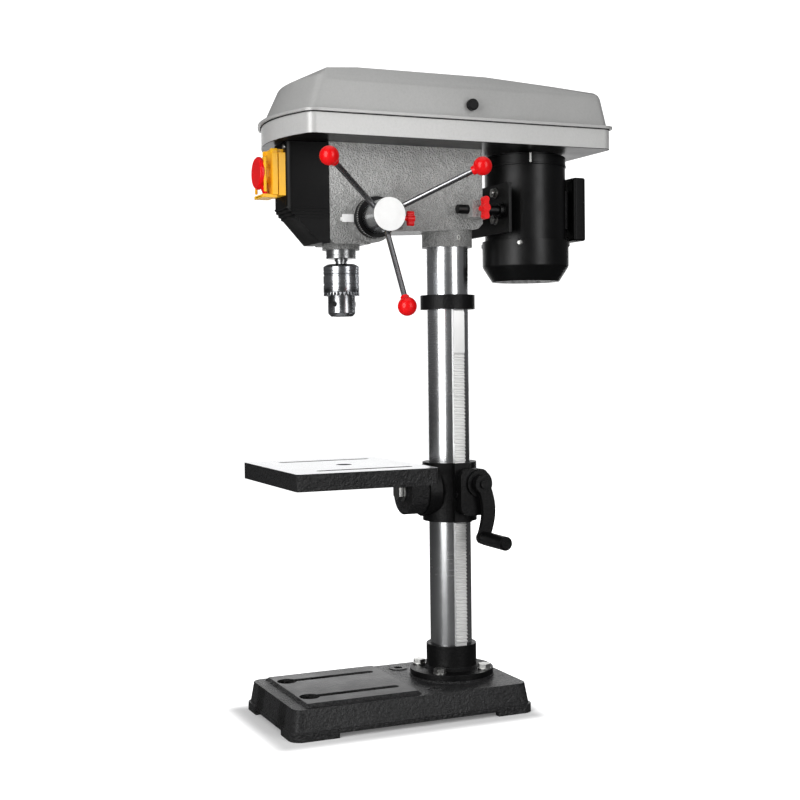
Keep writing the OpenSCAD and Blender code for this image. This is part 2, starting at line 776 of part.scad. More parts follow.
function cover_side(d) = [
    [head_front + 1, head_nose_z + 1 + d], [head_front - 14.5 + d * 0.4, head_nose_z + 1 + d],
    [switch_y + d, head_nose_z + 52 + d * 0.4], [switch_y + d, head_top_z + (d > 0 ? 1 : 0) - 1],
    [head_front + 1, head_top_z + (d > 0 ? 1 : 0) - 1]
];

module front_cover_solid(d) {
    intersection() {
        prism(cover_plan(d), head_nose_z - 5, head_top_z + 5);
        prism_x(cover_side(d), -head_hw, head_hw);
    }
}

module front_cover() {
    color(plastic_black) at_column() difference() {
        union() {
            front_cover_solid(0);
            // Raised ribs round the slope
            for (i = [0 : 3])
                intersection() {
                    front_cover_solid(-1);
                    box(-60, 60, switch_y - 5, head_front - 1,
                        head_nose_z + 37 + i * 4.6, head_nose_z + 39.4 + i * 4.6);
                }
        }
        front_cover_solid(front_cover_wall);
        box(-60, 60, head_front - 0.2, head_front + 5, head_nose_z - 5, head_top_z + 5);
        for (s = [-1, 1])
            rod_y(1.6, switch_y - 1, switch_y + 10, s * 21, switch_z + 3);
        for (s = [-1, 1])
            rod_y(2.2, switch_y - 1, switch_y + 10, s * 21, head_top_z - 8);
    }
}

module feed_bush() {
    color(bright) at_column() translate([0, feed_y, feed_z]) difference() {
        union() {
            rod_x(feed_shaft_d / 2 + 8, bush_x, feed_boss_x);
            rod_x(feed_shaft_d / 2 + 12, feed_boss_x, feed_boss_x + 1);
        }
        rod_x(feed_shaft_d / 2 + run_gap, 14, feed_boss_x + 3);
    }
}

module spring_cap() {
    x0 = -head_hw - 26;
    color(iron_black) at_column() translate([0, feed_y, feed_z]) difference() {
        rod_x(30, x0, -head_hw - 8);
        rod_x(27.5, x0 + 2.5, -head_hw - 7);
        rod_x(feed_shaft_d / 2 + run_gap, x0 - 1, x0 + 4);
    }
}

// Flat spiral, wound from the shaft out to the cap's wall
module return_spring() {
    turns = 5;
    steps = 24 * turns;
    r0 = feed_shaft_d / 2 + 1.2;
    r1 = 26.4;
    spiral = [for (i = [0 : steps]) let (r = r0 + (r1 - r0) * i / steps, a = i * 15)
        [r * cos(a), r * sin(a)]];
    back = [for (i = [0 : steps]) let (j = steps - i, r = r0 + (r1 - r0) * j / steps + 0.9, a = j * 15)
        [r * cos(a), r * sin(a)]];
    color("#4a4c50") at_column() translate([-head_hw - 20, feed_y, feed_z])
        rotate([0, 90, 0]) linear_extrude(10) polygon(concat(spiral, back));
}

module depth_pointer() {
    y1 = feed_y - ring_r - 0.6;
    color("white") at_column() {
        box(feed_boss_x, feed_boss_x + 2, y1 - 18, y1, feed_z - 7, feed_z + 4.5);
        box(head_hw, feed_boss_x, y1 - 16, y1 - 12, feed_z - 4, feed_z + 1);
    }
}

module cable_gland() {
    color(plastic_black) at_column() translate([0, feed_y + 60, head_nose_z + 70]) difference() {
        union() {
            rod_x(8, -head_hw - 2, -head_hw + 7.5);
            translate([-head_hw - 7, 0, 0]) rotate([0, 90, 0]) hex_head(20, 7);
            rod_x(7.5, -head_hw - 16, -head_hw - 6);
        }
        rod_x(3.5, -head_hw - 17, -head_hw + 8);
    }
}

// ---------- Quill, spindle and chuck ----------

module quill() {
    teeth = rack_edge(quill_rack_y, feed_z - 8, quill_top_z - 4, feed_z);
    out = quill_rack_y + 12;
    tip = quill_rack_y + rack_add;
    zs = teeth[0][1] - 3;
    ze = teeth[len(teeth) - 1][1] + 3;
    comb = concat([[out, zs - 2], [tip, zs]], teeth, [[tip, ze], [out, ze + 2]]);
    color(bright) at_column() difference() {
        rod_z(quill_r, quill_z, quill_top_z, 0, spindle_y);
        prism_x(comb, -quill_r, quill_r);
        rod_z(spindle_r + 2.5, quill_z - 1, quill_top_z + 1, 0, spindle_y);
        rod_z(bearing_r - 5, quill_z + 3, quill_z + 3 + bearing_h, 0, spindle_y);
        rod_z(bearing_r - 5, quill_top_z - 3 - bearing_h, quill_top_z + 1, 0, spindle_y);
        translate([0, spindle_y, quill_z + 4]) ring_cut(quill_r, 0.6, 1.2);
    }
}

module ring_cut(r, depth, h) {
    difference() {
        cylinder(r = r + 1, h = h);
        translate([0, 0, -1]) cylinder(r = r - depth, h = h + 2);
    }
}

module quill_bearings() {
    color(bright) at_column() translate([0, spindle_y, 0])
        for (z = [quill_z + 3, quill_top_z - 3 - bearing_h])
            ring_z(bearing_r - 5, spindle_r + run_gap, z, z + bearing_h);
}

module spindle() {
    color(bright) at_column() translate([0, spindle_y, 0]) {
        rod_z(spindle_r - 0.5, chuck_seat_z + 1, chuck_top_z);
        rod_z(spindle_r, chuck_top_z, quill_top_z + 1);
        rod_z(spindle_r + 1.5, quill_z - 4, quill_z - 1);
        rod_z(spindle_r + 3, quill_top_z, quill_top_z + 3);
        rod_z(spline_r, quill_top_z, pulley_top_z + 6);
    }
}

module at_jaws() {
    for (i = [0 : 2]) rotate([0, 0, 30 + i * 120]) children();
}

module jaw_line(r, z0, z1) {
    translate([jaw_mouth_r, 0, chuck_bottom_z]) rotate([0, jaw_tilt, 0])
        translate([0, 0, z0 / cos(jaw_tilt)]) cylinder(r = r, h = (z1 - z0) / cos(jaw_tilt));
}

module chuck_body() {
    z0 = chuck_bottom_z;
    profile = [
        [0, z0], [chuck_nose_r - 5.2, z0], [chuck_nose_r, z0 + 5.6], [chuck_nose_r, sleeve_top_z + 0.4],
        [chuck_r - 0.8, sleeve_top_z + 0.4], [chuck_r - 0.8, sleeve_top_z + 2.4],
        [chuck_r, sleeve_top_z + 2.4], [chuck_r, chuck_top_z - 4.3], [chuck_r - 11, chuck_top_z - 0.5],
        [chuck_r - 12, chuck_top_z], [0, chuck_top_z]
    ];
    color(bright) at_column() translate([0, spindle_y, 0]) difference() {
        rotate_extrude() polygon(profile);
        rod_z(spindle_r - 0.5 + run_gap, chuck_seat_z, chuck_top_z + 1);
        rod_z(8.2, z0 - 1, z0 + 46);
        at_jaws() jaw_line(jaw_r + run_gap, -4, jaw_l + 1.2);
        for (i = [0 : 2]) rotate([0, 0, 90 + i * 120]) rod_x(3.2, 12, 30, 0, z0 + 20);
    }
}

module chuck_sleeve() {
    color(bright) at_column() translate([0, spindle_y, 0]) difference() {
        rotate_extrude() polygon([
            [chuck_nose_r + run_gap, sleeve_bottom_z], [chuck_r - 2.4, sleeve_bottom_z],
            [chuck_r, sleeve_bottom_z + 2.4], [chuck_r, sleeve_bottom_z + 17.5],
            [chuck_r - 0.8, sleeve_bottom_z + 17.5], [chuck_r - 0.8, sleeve_bottom_z + 20],
            [chuck_r, sleeve_bottom_z + 20], [chuck_r, sleeve_top_z], [chuck_nose_r + run_gap, sleeve_top_z]
        ]);
        for (i = [0 : chuck_teeth - 1]) rotate([0, 0, i * 360 / chuck_teeth])
            translate([chuck_r - 1.5, 0, sleeve_bottom_z - 1]) rotate([0, 0, 45])
                cube([3, 3, 9], center = true);
    }
}

module chuck_jaw(i) {
    color(bright) at_column() translate([0, spindle_y, 0]) rotate([0, 0, 30 + (i - 1) * 120])
        intersection() {
            jaw_line(jaw_r, -4, jaw_l);
            rod_z(chuck_nose_r, chuck_bottom_z + 0.8, chuck_bottom_z + 60);
        }
}

module chuck_jaw_1() { chuck_jaw(1); }
module chuck_jaw_2() { chuck_jaw(2); }
module chuck_jaw_3() { chuck_jaw(3); }

// ---------- Feed ----------

module pinion_shaft() {
    color(bright) at_column() translate([0, feed_y, feed_z]) {
        rod_x(feed_shaft_d / 2, -head_hw - 34, hub_end_x - 6);
        translate([-14.2, 0, 0]) rotate([90, 0, 90]) rotate([0, 0, 180])
            linear_extrude(28.4) polygon(pinion_outline());
        for (x = [-head_hw - 32, -head_hw - 40])
            translate([x, 0, 0]) rotate([0, 90, 0]) hex_head(19, 5.5);
        rod_x(feed_shaft_d / 2 - 1, -head_hw - 42, -head_hw - 33);
    }
}

module at_handles() {
    for (a = handle_angles)
        rotate([a, 0, 0]) translate([rod_root_x, 0, 0]) rotate([0, 0, -rod_lean]) children();
}

// Length of a handle rod from the hub's axis to the ball's centre
rod_l = handle_r / cos(rod_lean);

module feed_hub() {
    color(bright) at_column() translate([0, feed_y, feed_z]) difference() {
        union() {
            rod_x(hub_d / 2 - 4, ring_x - 0.3, hub_x + 1);
            rod_x(hub_d / 2, hub_x, hub_end_x - 0.5);
        }
        rod_x(feed_shaft_d / 2 + run_gap, 0, hub_end_x - 5);
        rod_x(hub_d / 2 - 5, hub_end_x - 3, hub_end_x);
        at_handles() rod_y(rod_d / 2 + run_gap, 12, hub_d);
    }
}

module hub_cap() {
    color("white") at_column() translate([0, feed_y, feed_z]) {
        rod_x(hub_d / 2 - 5.2, hub_end_x - 2.8, hub_end_x);
        rod_x(hub_d / 2 + 0.3, hub_end_x - 0.5, hub_end_x + 2.5);
    }
}

module feed_rods() {
    color(bright) at_column() translate([0, feed_y, feed_z]) at_handles()
        rod_y(rod_d / 2, 13, rod_l - ball_d / 2 + 4);
}

module feed_knobs() {
    color(signal_red) at_column() translate([0, feed_y, feed_z]) at_handles() difference() {
        union() {
            translate([0, rod_l, 0]) sphere(r = ball_d / 2);
            translate([0, rod_l - ball_d / 2 - 3, 0]) rotate([-90, 0, 0])
                cylinder(r1 = 6.2, r2 = 7.4, h = 8);
        }
        rod_y(rod_d / 2 + run_gap, 0, rod_l - ball_d / 2 + 4.4);
    }
}

module depth_scale_ring() {
    color(plastic_black) at_column() translate([0, feed_y, feed_z]) difference() {
        rod_x(ring_r, ring_x, ring_x + ring_t);
        rod_x(hub_d / 2 - 4 + run_gap, ring_x - 1, ring_x + ring_t + 1);
        rod_y(3 + run_gap, 10, 40, ring_x + ring_t / 2);
    }
}

module depth_lock_knob() {
    color(signal_red) at_column()
        translate([ring_x + ring_t / 2, feed_y + hub_d / 2 - 3.6, feed_z]) rotate([-90, 90, 0])
            wing_knob(3, 30, 5, 14, 12);
}

// ---------- Belt drive ----------

// Stepped pulley with a square groove on each step, listed from the bottom
module stepped_pulley(steps, bore) {
    edge = (step_h - groove_h) / 2;
    profile = concat([[bore, 0]],
        [for (i = [0 : len(steps) - 1]) let (z = i * step_h, r = steps[i]) each [
            [r, z], [r, z + edge], [r - groove_depth, z + edge + 0.6],
            [r - groove_depth, z + edge + groove_h - 0.6], [r, z + edge + groove_h], [r, z + step_h]
        ]],
        [[bore, len(steps) * step_h]]);
    translate([0, 0, pulley_z]) rotate_extrude() polygon(profile);
}

module spindle_pulley() {
    color("#a9abad") at_column() translate([0, spindle_y, 0]) {
        stepped_pulley(spindle_steps, sleeve_r - 1);
        ring_z(sleeve_r, spline_r + run_gap, head_top_z - 29, pulley_top_z + 3);
        ring_z(sleeve_r + 5, sleeve_r - 1, pulley_top_z - 1, pulley_top_z + 3);
    }
}

module idler_pulley() {
    color("#a9abad") at_column() translate([0, idler_y, 0])
        stepped_pulley(idler_steps, post_r + run_gap);
}

module motor_pulley() {
    color("#a9abad") at_column() translate([0, motor_y, 0])
        stepped_pulley(motor_steps, motor_shaft_r + run_gap);
}

module pulley_bearings() {
    color(bright) at_column() translate([0, spindle_y, 0])
        for (z = [head_top_z - 28.5, head_top_z - bearing_h - 0.5])
            ring_z(bearing_r, sleeve_r + run_gap, z, z + bearing_h);
}

module idler_post() {
    color(bright) at_column() translate([0, idler_y, 0]) {
        rod_z(post_r, head_top_z - 13.5, pulley_top_z + 1);
        rod_z(post_r + 8, pan_z + cover_wall + 0.2, pulley_z - 0.4);
        rod_z(post_r + 5, pulley_top_z + 0.4, pulley_top_z + 3);
    }
}

module belt(y1, r1, y2, r2, level) {
    z = pulley_z + (level + 0.5) * step_h - belt_h / 2;
    r_in = groove_depth - 0.4;
    difference() {
        prism(belt_loop(y1, r1 - r_in + belt_t, y2, r2 - r_in + belt_t), z, z + belt_h);
        prism(belt_loop(y1, r1 - r_in, y2, r2 - r_in), z - 1, z + belt_h + 1);
    }
}

module drive_belts() {
    color("#222222") at_column() {
        belt(spindle_y, spindle_steps[3], idler_y, idler_steps[3], 3);
        belt(idler_y, idler_steps[0], motor_y, motor_steps[0], 0);
    }
}

hinge_x = -cover_w / 2 - 7;
hinge_z = lid_z + 1;
hinge_ys = [-90, 110];

module belt_pan() {
    color(cover_grey) at_column() difference() {
        union() {
            difference() {
                prism(cover_grown(0), pan_z, pan_z + pan_h);
                prism(cover_grown(-cover_wall), pan_z + cover_wall, pan_z + pan_h + 1);
            }
            for (y = hinge_ys) {
                box(hinge_x - 3, -cover_w / 2 + 1, y - 8, y + 8, hinge_z - 14, hinge_z - 4);
                for (s = [-1, 1]) {
                    box(hinge_x - 3.5, hinge_x + 3.5, y + s * 12 - 6, y + s * 12 + 6,
                        hinge_z - 14, hinge_z);
                    rod_y(3.5, y + s * 12 - 6, y + s * 12 + 6, hinge_x, hinge_z);
                    box(hinge_x, -cover_w / 2 + 1, y + s * 12 - 6, y + s * 12 + 6,
                        hinge_z - 14, hinge_z - 6);
                }
            }
        }
        for (y = hinge_ys) rod_y(1.5, y - 20, y + 20, hinge_x, hinge_z);
        rod_z(sleeve_r + 6, pan_z - 1, pan_z + 10, 0, spindle_y);
        rod_z(post_r + 0.5, pan_z - 1, pan_z + 10, 0, idler_y);
        slot_y(36, 66, 0, motor_y - 5, pan_z - 1, pan_z + 10);
    }
}

module lid_hinge_pins() {
    color(bright) at_column() for (y = hinge_ys)
        rod_y(1.5, y - 18, y + 18, hinge_x, hinge_z);
}

module lid_seal() {
    color(plastic_black) at_column() difference() {
        prism(cover_grown(1.2), pan_z + pan_h, lid_z - 0.2);
        prism(cover_grown(-2), pan_z + pan_h - 1, lid_z + 1);
    }
}

// Solid of the lid above its lip, pulled in by d all round
module lid_dome(d) {
    z1 = lid_z + lid_h - d;
    hull() {
        prism(lid_outline(3 + d, 3 + d, 3 + d), lid_z + (d > 0 ? -1 : 2), lid_z + 4);
        prism(lid_outline(12 + d, 24 + d, 9 + d), lid_z + lid_h - 24 - d, lid_z + lid_h - 23.9 - d);
        prism(lid_outline(15 + d, 27 + d, 11 + d), z1 - 18, z1 - 17.9);
        // Crown: highest over the column, lower at the front and lowest at the rear
        box(-cover_w / 2 + 27 + d, cover_w / 2 - 27 - d, -throat - cover_front + 62 + d, 20,
            z1 - 5, z1 - 4.4);
        box(-cover_w / 2 + 32 + d, cover_w / 2 - 32 - d, -throat, 30, z1 - 0.1, z1);
        box(-cover_w / 2 + 26 + d, cover_w / 2 - 26 - d, 0, motor_y, z1 - 8, z1 - 7.9);
        box(-cover_w / 2 + 28 + d, cover_w / 2 - 28 - d, motor_y, motor_y + cover_rear - 17 - d,
            z1 - 13.1, z1 - 13);
    }
}

module belt_lid() {
    color(cover_grey) at_column() {
        difference() {
            union() {
                lid_dome(0);
                prism(cover_grown(lid_lip), lid_z, lid_z + 4);
                for (y = hinge_ys) {
                    box(hinge_x, -cover_w / 2 - 2, y - 5.6, y + 5.6, hinge_z - 1, hinge_z + 3);
                    rod_y(3.5, y - 5.6, y + 5.6, hinge_x, hinge_z);
                }
            }
            lid_dome(cover_wall);
            prism(lid_outline(3 + cover_wall, 3 + cover_wall, 3 + cover_wall), lid_z - 5, lid_z + 3);
            for (y = hinge_ys) {
                rod_y(1.5 + run_gap, y - 8, y + 8, hinge_x, hinge_z);
                for (s = [-1, 1])
                    box(-cover_w / 2 - 12, -cover_w / 2 - 2.5, y + s * 12 - 6.4, y + s * 12 + 6.4,
                        lid_z - 1, lid_z + 8);
            }
            rod_x(2.5 + run_gap, cover_w / 2 - 20, cover_w / 2 + 5, -7, lid_z + 23);
        }
    }
}

module lid_knob() {
    color(plastic_black) at_column() translate([0, -7, lid_z + 23]) {
        rod_x(2.5, cover_w / 2 - 12, cover_w / 2 - 3);
        rod_x(8.5, cover_w / 2 - 4.2, cover_w / 2 + 3);
        rod_x(7, cover_w / 2 + 2.9, cover_w / 2 + 4);
    }
}

// ---------- Motor ----------

module at_motor_bolts() {
    for (s = [-1, 1])
        for (z = motor_bolt_z)
            translate([s * motor_bolt_x, plate_y, z]) children();
}

module motor_bolts() {
    color(bright) at_column() at_motor_bolts() {
        rod_y(4, -8, 12);
        rod_y(8, -1.5, 0);
        translate([0, -1.5, 0]) rotate([90, 0, 0]) hex_head(13, 5);
    }
}

module motor_body() {
    color(plastic_black) at_column() difference() {
        union() {
            rod_z(motor_r, fan_cover_top_z, motor_top_z - 14, 0, motor_y);
            rod_z(motor_r - 1, motor_top_z - 15, motor_top_z - 11, 0, motor_y);
            rod_z(motor_r, motor_top_z - 12, motor_top_z - 3, 0, motor_y);
            rod_z(motor_r - 4, motor_top_z - 4, motor_top_z, 0, motor_y);
            // Mounting pads in front
            for (s = [-1, 1])
                box(s * motor_bolt_x - 9, s * motor_bolt_x + 9, plate_y + plate_t,
                    motor_y - motor_r + 14, motor_bolt_z[0] - 12, motor_bolt_z[1] + 9);
            // Seat of the capacitor box
            box(-20, 20, motor_y + motor_r - 4, motor_y + motor_r + 4,
                fan_cover_top_z + 20, fan_cover_top_z + 80);
        }
        rod_z(motor_r - 5, fan_cover_top_z - 1, motor_top_z - 8, 0, motor_y);
        rod_z(motor_shaft_r + 0.3, motor_top_z - 9, motor_top_z + 1, 0, motor_y);
        at_motor_bolts() rod_y(4 + run_gap, plate_t - 1, 13);
    }
}

module motor_fan_cover() {
    r = fan_cover_r;
    z0 = motor_bottom_z;
    z1 = fan_cover_top_z;
    cut = 15;
    color(plastic_black) at_column() translate([0, motor_y, 0]) difference() {
        rotate_extrude() polygon([
            [0, z0], [r - cut, z0], [r - 1, z0 + cut + 7], [r, z0 + cut + 10], [r, z1],
            [motor_r - 6, z1], [motor_r - 6, z1 - 5], [r - 3, z1 - 5], [r - 3, z0 + cut + 10.5],
            [r - cut - 1.5, z0 + 3], [0, z0 + 3]
        ]);
        for (i = [0 : 11]) for (ring = [22, 38]) rotate([0, 0, i * 30])
            translate([ring, 0, 0]) rod_z(4, z0 - 1, z0 + 5);
    }
}

module motor_plate() {
    color(iron_black) at_column() difference() {
        union() {
            box(-plate_hw, plate_hw, plate_y, plate_y + plate_t, plate_z, plate_z + plate_h);
            for (s = [-1, 1])
                rod_y(slide_bar_d / 2 + 4, plate_y - 8, plate_y + 1, s * slide_bar_gap / 2, bar_z);
        }
        for (s = [-1, 1])
            rod_y(slide_bar_d / 2 + run_gap, plate_y - 9, plate_y + plate_t + 1,
                s * slide_bar_gap / 2, bar_z);
        at_motor_bolts() rod_y(4 + run_gap, -1, plate_t + 1);
    }
}

module slide_bars() {
    color(plastic_black) at_column() for (s = [-1, 1])
        rod_y(slide_bar_d / 2, lug_y - 18, plate_y + plate_t, s * slide_bar_gap / 2, bar_z);
}

module capacitor_box() {
    y0 = motor_y + motor_r + 4;
    z0 = fan_cover_top_z + 0.5;
    color(plastic_black) at_column() translate([0, 0, z0]) difference() {
        translate([0, y0 + 11, 0]) prism(round_rect(76, 22, 5), 0, 100);
        translate([0, y0 + 11, 0]) prism(round_rect(71, 17, 3), 2.5, 97.5);
    }
}

module motor_rotor() {
    color("#8a8d90") at_column() translate([0, motor_y, 0]) {
        rod_z(motor_shaft_r, fan_cover_top_z - 40, pulley_top_z - 2);
        rod_z(36, fan_cover_top_z + 28, fan_cover_top_z + 98);
        rod_z(14, fan_cover_top_z - 36, fan_cover_top_z - 12);
        for (i = [0 : 7]) rotate([0, 0, i * 45])
            box(12, 52, -1, 1, fan_cover_top_z - 36, fan_cover_top_z - 14);
    }
}

module slide_lock_knob() {
    color(signal_red) at_column()
        translate([slide_bar_gap / 2 + slide_bar_d / 2 + 0.3, lug_y + lug_l / 2, bar_z])
            rotate([0, 90, 0]) wing_knob(4, 16, 6, 25, 14);
}

// ---------- Switch ----------

module switch_housing() {
    z1 = switch_z + switch_h;
    color(signal_yellow) at_column() difference() {
        union() {
            box(-switch_w / 2, switch_w / 2, switch_y - switch_d, switch_y, switch_z, z1);
            // Hinge ears
            for (s = [-1, 1]) {
                box(s * 14 - 2, s * 14 + 2, flap_axis_y - 3, switch_y, z1, flap_axis_z + 2);
                box(s * 14 - 2, s * 14 + 2, switch_y - switch_d, switch_y, z1 - 2, z1 + 1);
                rod_x(3, s * 14 - 2, s * 14 + 2, flap_axis_y, flap_axis_z);
            }
        }
        for (s = [-1, 1])
            rod_x(1.5 + run_gap, s * 14 - 3, s * 14 + 3, flap_axis_y, flap_axis_z);
        // Wells of the stop button's stem and of the start button
        rod_y(9.5, switch_y - switch_d - 1, switch_y - 3, 0, stop_z);
        box(-7.3, 7.3, switch_y - switch_d - 1, switch_y - 2, start_z - 7.3, start_z + 7.3);
    }
}

module start_button() {
    color("#178a3c") at_column()
        box(-7, 7, switch_y - switch_d - 1, switch_y - 6, start_z - 7, start_z + 7);
}

module switch_flap() {
    y1 = switch_y - switch_d - 1.5;
    y0 = y1 - flap_t;
    z0 = switch_z + 1;
    z1 = switch_z + switch_h - 1;
    color(signal_yellow) at_column() difference() {
        union() {
            box(-switch_w / 2, switch_w / 2, y0, y1, z0, z1);
            rod_y(16, y0 - 6, y0 + 1, 0, stop_z);
            // Lip that the finger lifts
            box(-switch_w / 2 + 4, switch_w / 2 - 4, y0 - 14, y1, z0 - 4, z0 + 1);
            // Knuckle of the hinge
            box(-11.6, 11.6, flap_axis_y - 3, flap_axis_y + 1.5, z1 - 1, flap_axis_z);
            rod_x(3, -11.6, 11.6, flap_axis_y, flap_axis_z);
            rod_x(1.5, -16, 16, flap_axis_y, flap_axis_z);
        }
        rod_y(9 + run_gap, y0 - 10, y1 + 1, 0, stop_z);
    }
}

module stop_mushroom() {
    y0 = switch_y - switch_d - 1.5 - flap_t;
    color(signal_red) at_column() {
        rod_y(9, y0 - 10, y0 + 10, 0, stop_z);
        rod_y(22, y0 - 18, y0 - 9.5, 0, stop_z);
        rod_y(24, y0 - 16, y0 - 11.5, 0, stop_z);
    }
}

base_casting();
column_flange();
flange_bolts();
column_tube();
rack_collar();
small_screws();
head_casting();
front_cover();
switch_housing();
feed_bush();
spring_cap();
return_spring();
depth_pointer();
belt_pan();
lid_hinge_pins();
lid_seal();
idler_post();
pulley_bearings();
drive_belts();
cable_gland();
rack();
table_bracket();
tilt_bolt();
lift_gear();
worm_shaft();
crank_arm();
crank_grip();
bracket_lock_handle();
table();
quill();
quill_bearings();
spindle();
chuck_body();
chuck_sleeve();
chuck_jaw_1();
chuck_jaw_2();
chuck_jaw_3();
pinion_shaft();
feed_hub();
hub_cap();
feed_rods();
feed_knobs();
depth_scale_ring();
depth_lock_knob();
spindle_pulley();
idler_pulley();
motor_body();
motor_fan_cover();
motor_plate();
motor_bolts();
slide_bars();
capacitor_box();
motor_rotor();
motor_pulley();
slide_lock_knob();
belt_lid();
lid_knob();
switch_flap();
stop_mushroom();
start_button();
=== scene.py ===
"""Bench drill press: castings, covers, column, table lift, chuck, feed, motor and switch round the CAD"""

import json
import math

import bmesh
import bpy
from mathutils import Matrix, Vector


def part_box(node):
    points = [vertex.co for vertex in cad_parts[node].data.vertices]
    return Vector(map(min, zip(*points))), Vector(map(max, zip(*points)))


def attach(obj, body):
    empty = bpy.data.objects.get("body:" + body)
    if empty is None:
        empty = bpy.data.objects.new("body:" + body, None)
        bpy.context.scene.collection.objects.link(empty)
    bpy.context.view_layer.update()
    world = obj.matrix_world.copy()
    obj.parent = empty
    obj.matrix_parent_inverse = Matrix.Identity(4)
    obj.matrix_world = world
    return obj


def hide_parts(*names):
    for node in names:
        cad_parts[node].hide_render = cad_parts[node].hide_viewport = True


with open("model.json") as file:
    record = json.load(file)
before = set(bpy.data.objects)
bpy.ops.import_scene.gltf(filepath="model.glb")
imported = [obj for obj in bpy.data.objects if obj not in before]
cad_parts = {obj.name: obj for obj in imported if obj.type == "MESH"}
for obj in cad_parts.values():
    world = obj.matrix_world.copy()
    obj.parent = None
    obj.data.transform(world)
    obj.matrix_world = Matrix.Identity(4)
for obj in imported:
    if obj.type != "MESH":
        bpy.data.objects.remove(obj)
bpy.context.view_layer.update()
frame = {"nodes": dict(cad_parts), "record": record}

bl_info = {
    "name": "Bench Drill Press",
    "version": (1, 0, 0),
    "blender": (4, 5, 0),
    "location": "View3D > Sidebar > Drill Press",
    "description": "Builds the visible pieces and finishes of a bench drill press",
    "category": "Object",
}


# ---------- Settings ----------


class DrillPressSizes(bpy.types.PropertyGroup):
    """Sizes of the visible pieces"""

    head_edge: bpy.props.FloatProperty(
        name="Head Edge", description="Radius on the head casting's edges", default=0.003, unit="LENGTH")
    base_edge: bpy.props.FloatProperty(
        name="Base Edge", description="Radius on the base casting's edges", default=0.00105, unit="LENGTH")
    bracket_edge: bpy.props.FloatProperty(
        name="Bracket Edge", description="Radius on the edges of the bracket, flange and collar",
        default=0.0015, unit="LENGTH")
    pan_edge: bpy.props.FloatProperty(
        name="Pan Edge", description="Radius on the belt pan's edges", default=0.003, unit="LENGTH")
    lid_shoulder: bpy.props.FloatProperty(
        name="Lid Shoulder", description="Radius between the lid's sides and its top", default=0.008,
        unit="LENGTH")
    lid_wall: bpy.props.FloatProperty(
        name="Lid Wall", description="Thickness of the lid's sheet", default=0.0016, unit="LENGTH")
    sleeve_teeth: bpy.props.IntProperty(
        name="Sleeve Teeth", description="Key teeth round the chuck sleeve", default=30, min=12, max=48)
    ring_marks: bpy.props.IntProperty(
        name="Ring Marks", description="Marks round the depth scale ring", default=60, min=12, max=120)


class DrillPressColours(bpy.types.PropertyGroup):
    """Colours of the finishes"""

    hammer_grey: bpy.props.FloatVectorProperty(
        name="Hammer Grey", description="Paint of the head casting", default=(0.50, 0.50, 0.49), size=3,
        subtype="COLOR")
    cover_grey: bpy.props.FloatVectorProperty(
        name="Cover Grey", description="Paint of the belt cover", default=(0.40, 0.40, 0.393), size=3,
        subtype="COLOR")
    casting_black: bpy.props.FloatVectorProperty(
        name="Casting Black", description="Paint of the black castings", default=(0.011, 0.011, 0.0115),
        size=3, subtype="COLOR")
    signal_red: bpy.props.FloatVectorProperty(
        name="Signal Red", description="Knobs and stop button", default=(0.78, 0.001, 0.003), size=3,
        subtype="COLOR")
    signal_yellow: bpy.props.FloatVectorProperty(
        name="Signal Yellow", description="Switch housing and its flap", default=(0.96, 0.50, 0.012), size=3,
        subtype="COLOR")


def sizes():
    """Sizes that the user may change"""
    return bpy.context.scene.drill_press_sizes


def colours():
    """Colours that the user may change"""
    return bpy.context.scene.drill_press_colours


# ---------- Fixed sizes, in metres and degrees ----------

# Radius on the edges of the smaller pieces
EDGE_RADIUS = {
    "rack": 0.0002, "depth_pointer": 0.0003, "small_screws": 0.0003, "spindle": 0.0004, "feed_rods": 0.0004,
    "feed_knobs": 0.0004, "tilt_bolt": 0.0006, "worm_shaft": 0.0006, "quill": 0.0006,
    "spindle_pulley": 0.0006, "idler_pulley": 0.0006, "motor_pulley": 0.0006, "motor_bolts": 0.0006,
    "start_button": 0.0006, "cable_gland": 0.0006, "table": 0.0008, "column_tube": 0.0008, "hub_cap": 0.0008,
    "depth_scale_ring": 0.0008, "motor_plate": 0.0008, "slide_bars": 0.0008, "flange_bolts": 0.0008,
    "front_cover": 0.0009, "bracket_lock_handle": 0.001, "feed_hub": 0.0012, "depth_lock_knob": 0.0012,
    "motor_body": 0.0012, "motor_fan_cover": 0.0012, "slide_lock_knob": 0.0012, "switch_housing": 0.0012,
    "lid_knob": 0.0015, "spring_cap": 0.0015, "switch_flap": 0.0018, "crank_arm": 0.002,
    "crank_grip": 0.002, "stop_mushroom": 0.0022, "capacitor_box": 0.003,
}

# Top of the base's raised pad, and the region of its keyhole slots: middle either side of the centre,
# middle along the base, half width and half length
PAD_TOP = 0.049
SLOT_ASIDE = 0.051
SLOT_MIDDLE = -0.198
SLOT_HALF_WIDTH = 0.0155
SLOT_HALF_LENGTH = 0.080

# Depths of the finishes that are told by height: the pad's smooth face with its painted sheen, the pan's
# underside with painted shade and the table's ground face
PAD_EDGE = 0.0006
PAN_UNDER_SHADE_DEPTH = 0.0008
TABLE_FACE = 0.00015

# How much paler the pan's paint is than the lid's: painted light, which makes the pan a lit copy of the lid's
# paint
PAN_PAINTED_LIGHT = 1.22

# Painted shade that darkens the foot of the head casting: how far it reaches up, and how strong it is
PAINTED_SHADE_REACH = 0.11
PAINTED_SHADE_AMOUNT = 0.55

# Points of a CAD mesh closer than this are one point, and edges flatter than this are dropped
MERGE_GAP = 2e-6
FLAT_ANGLE = math.radians(0.6)

# The lid's dome is shaped by the points in this much of its height, and its lip is this tall
DOME_DEPTH = 0.030
LIP_HEIGHT = 0.016

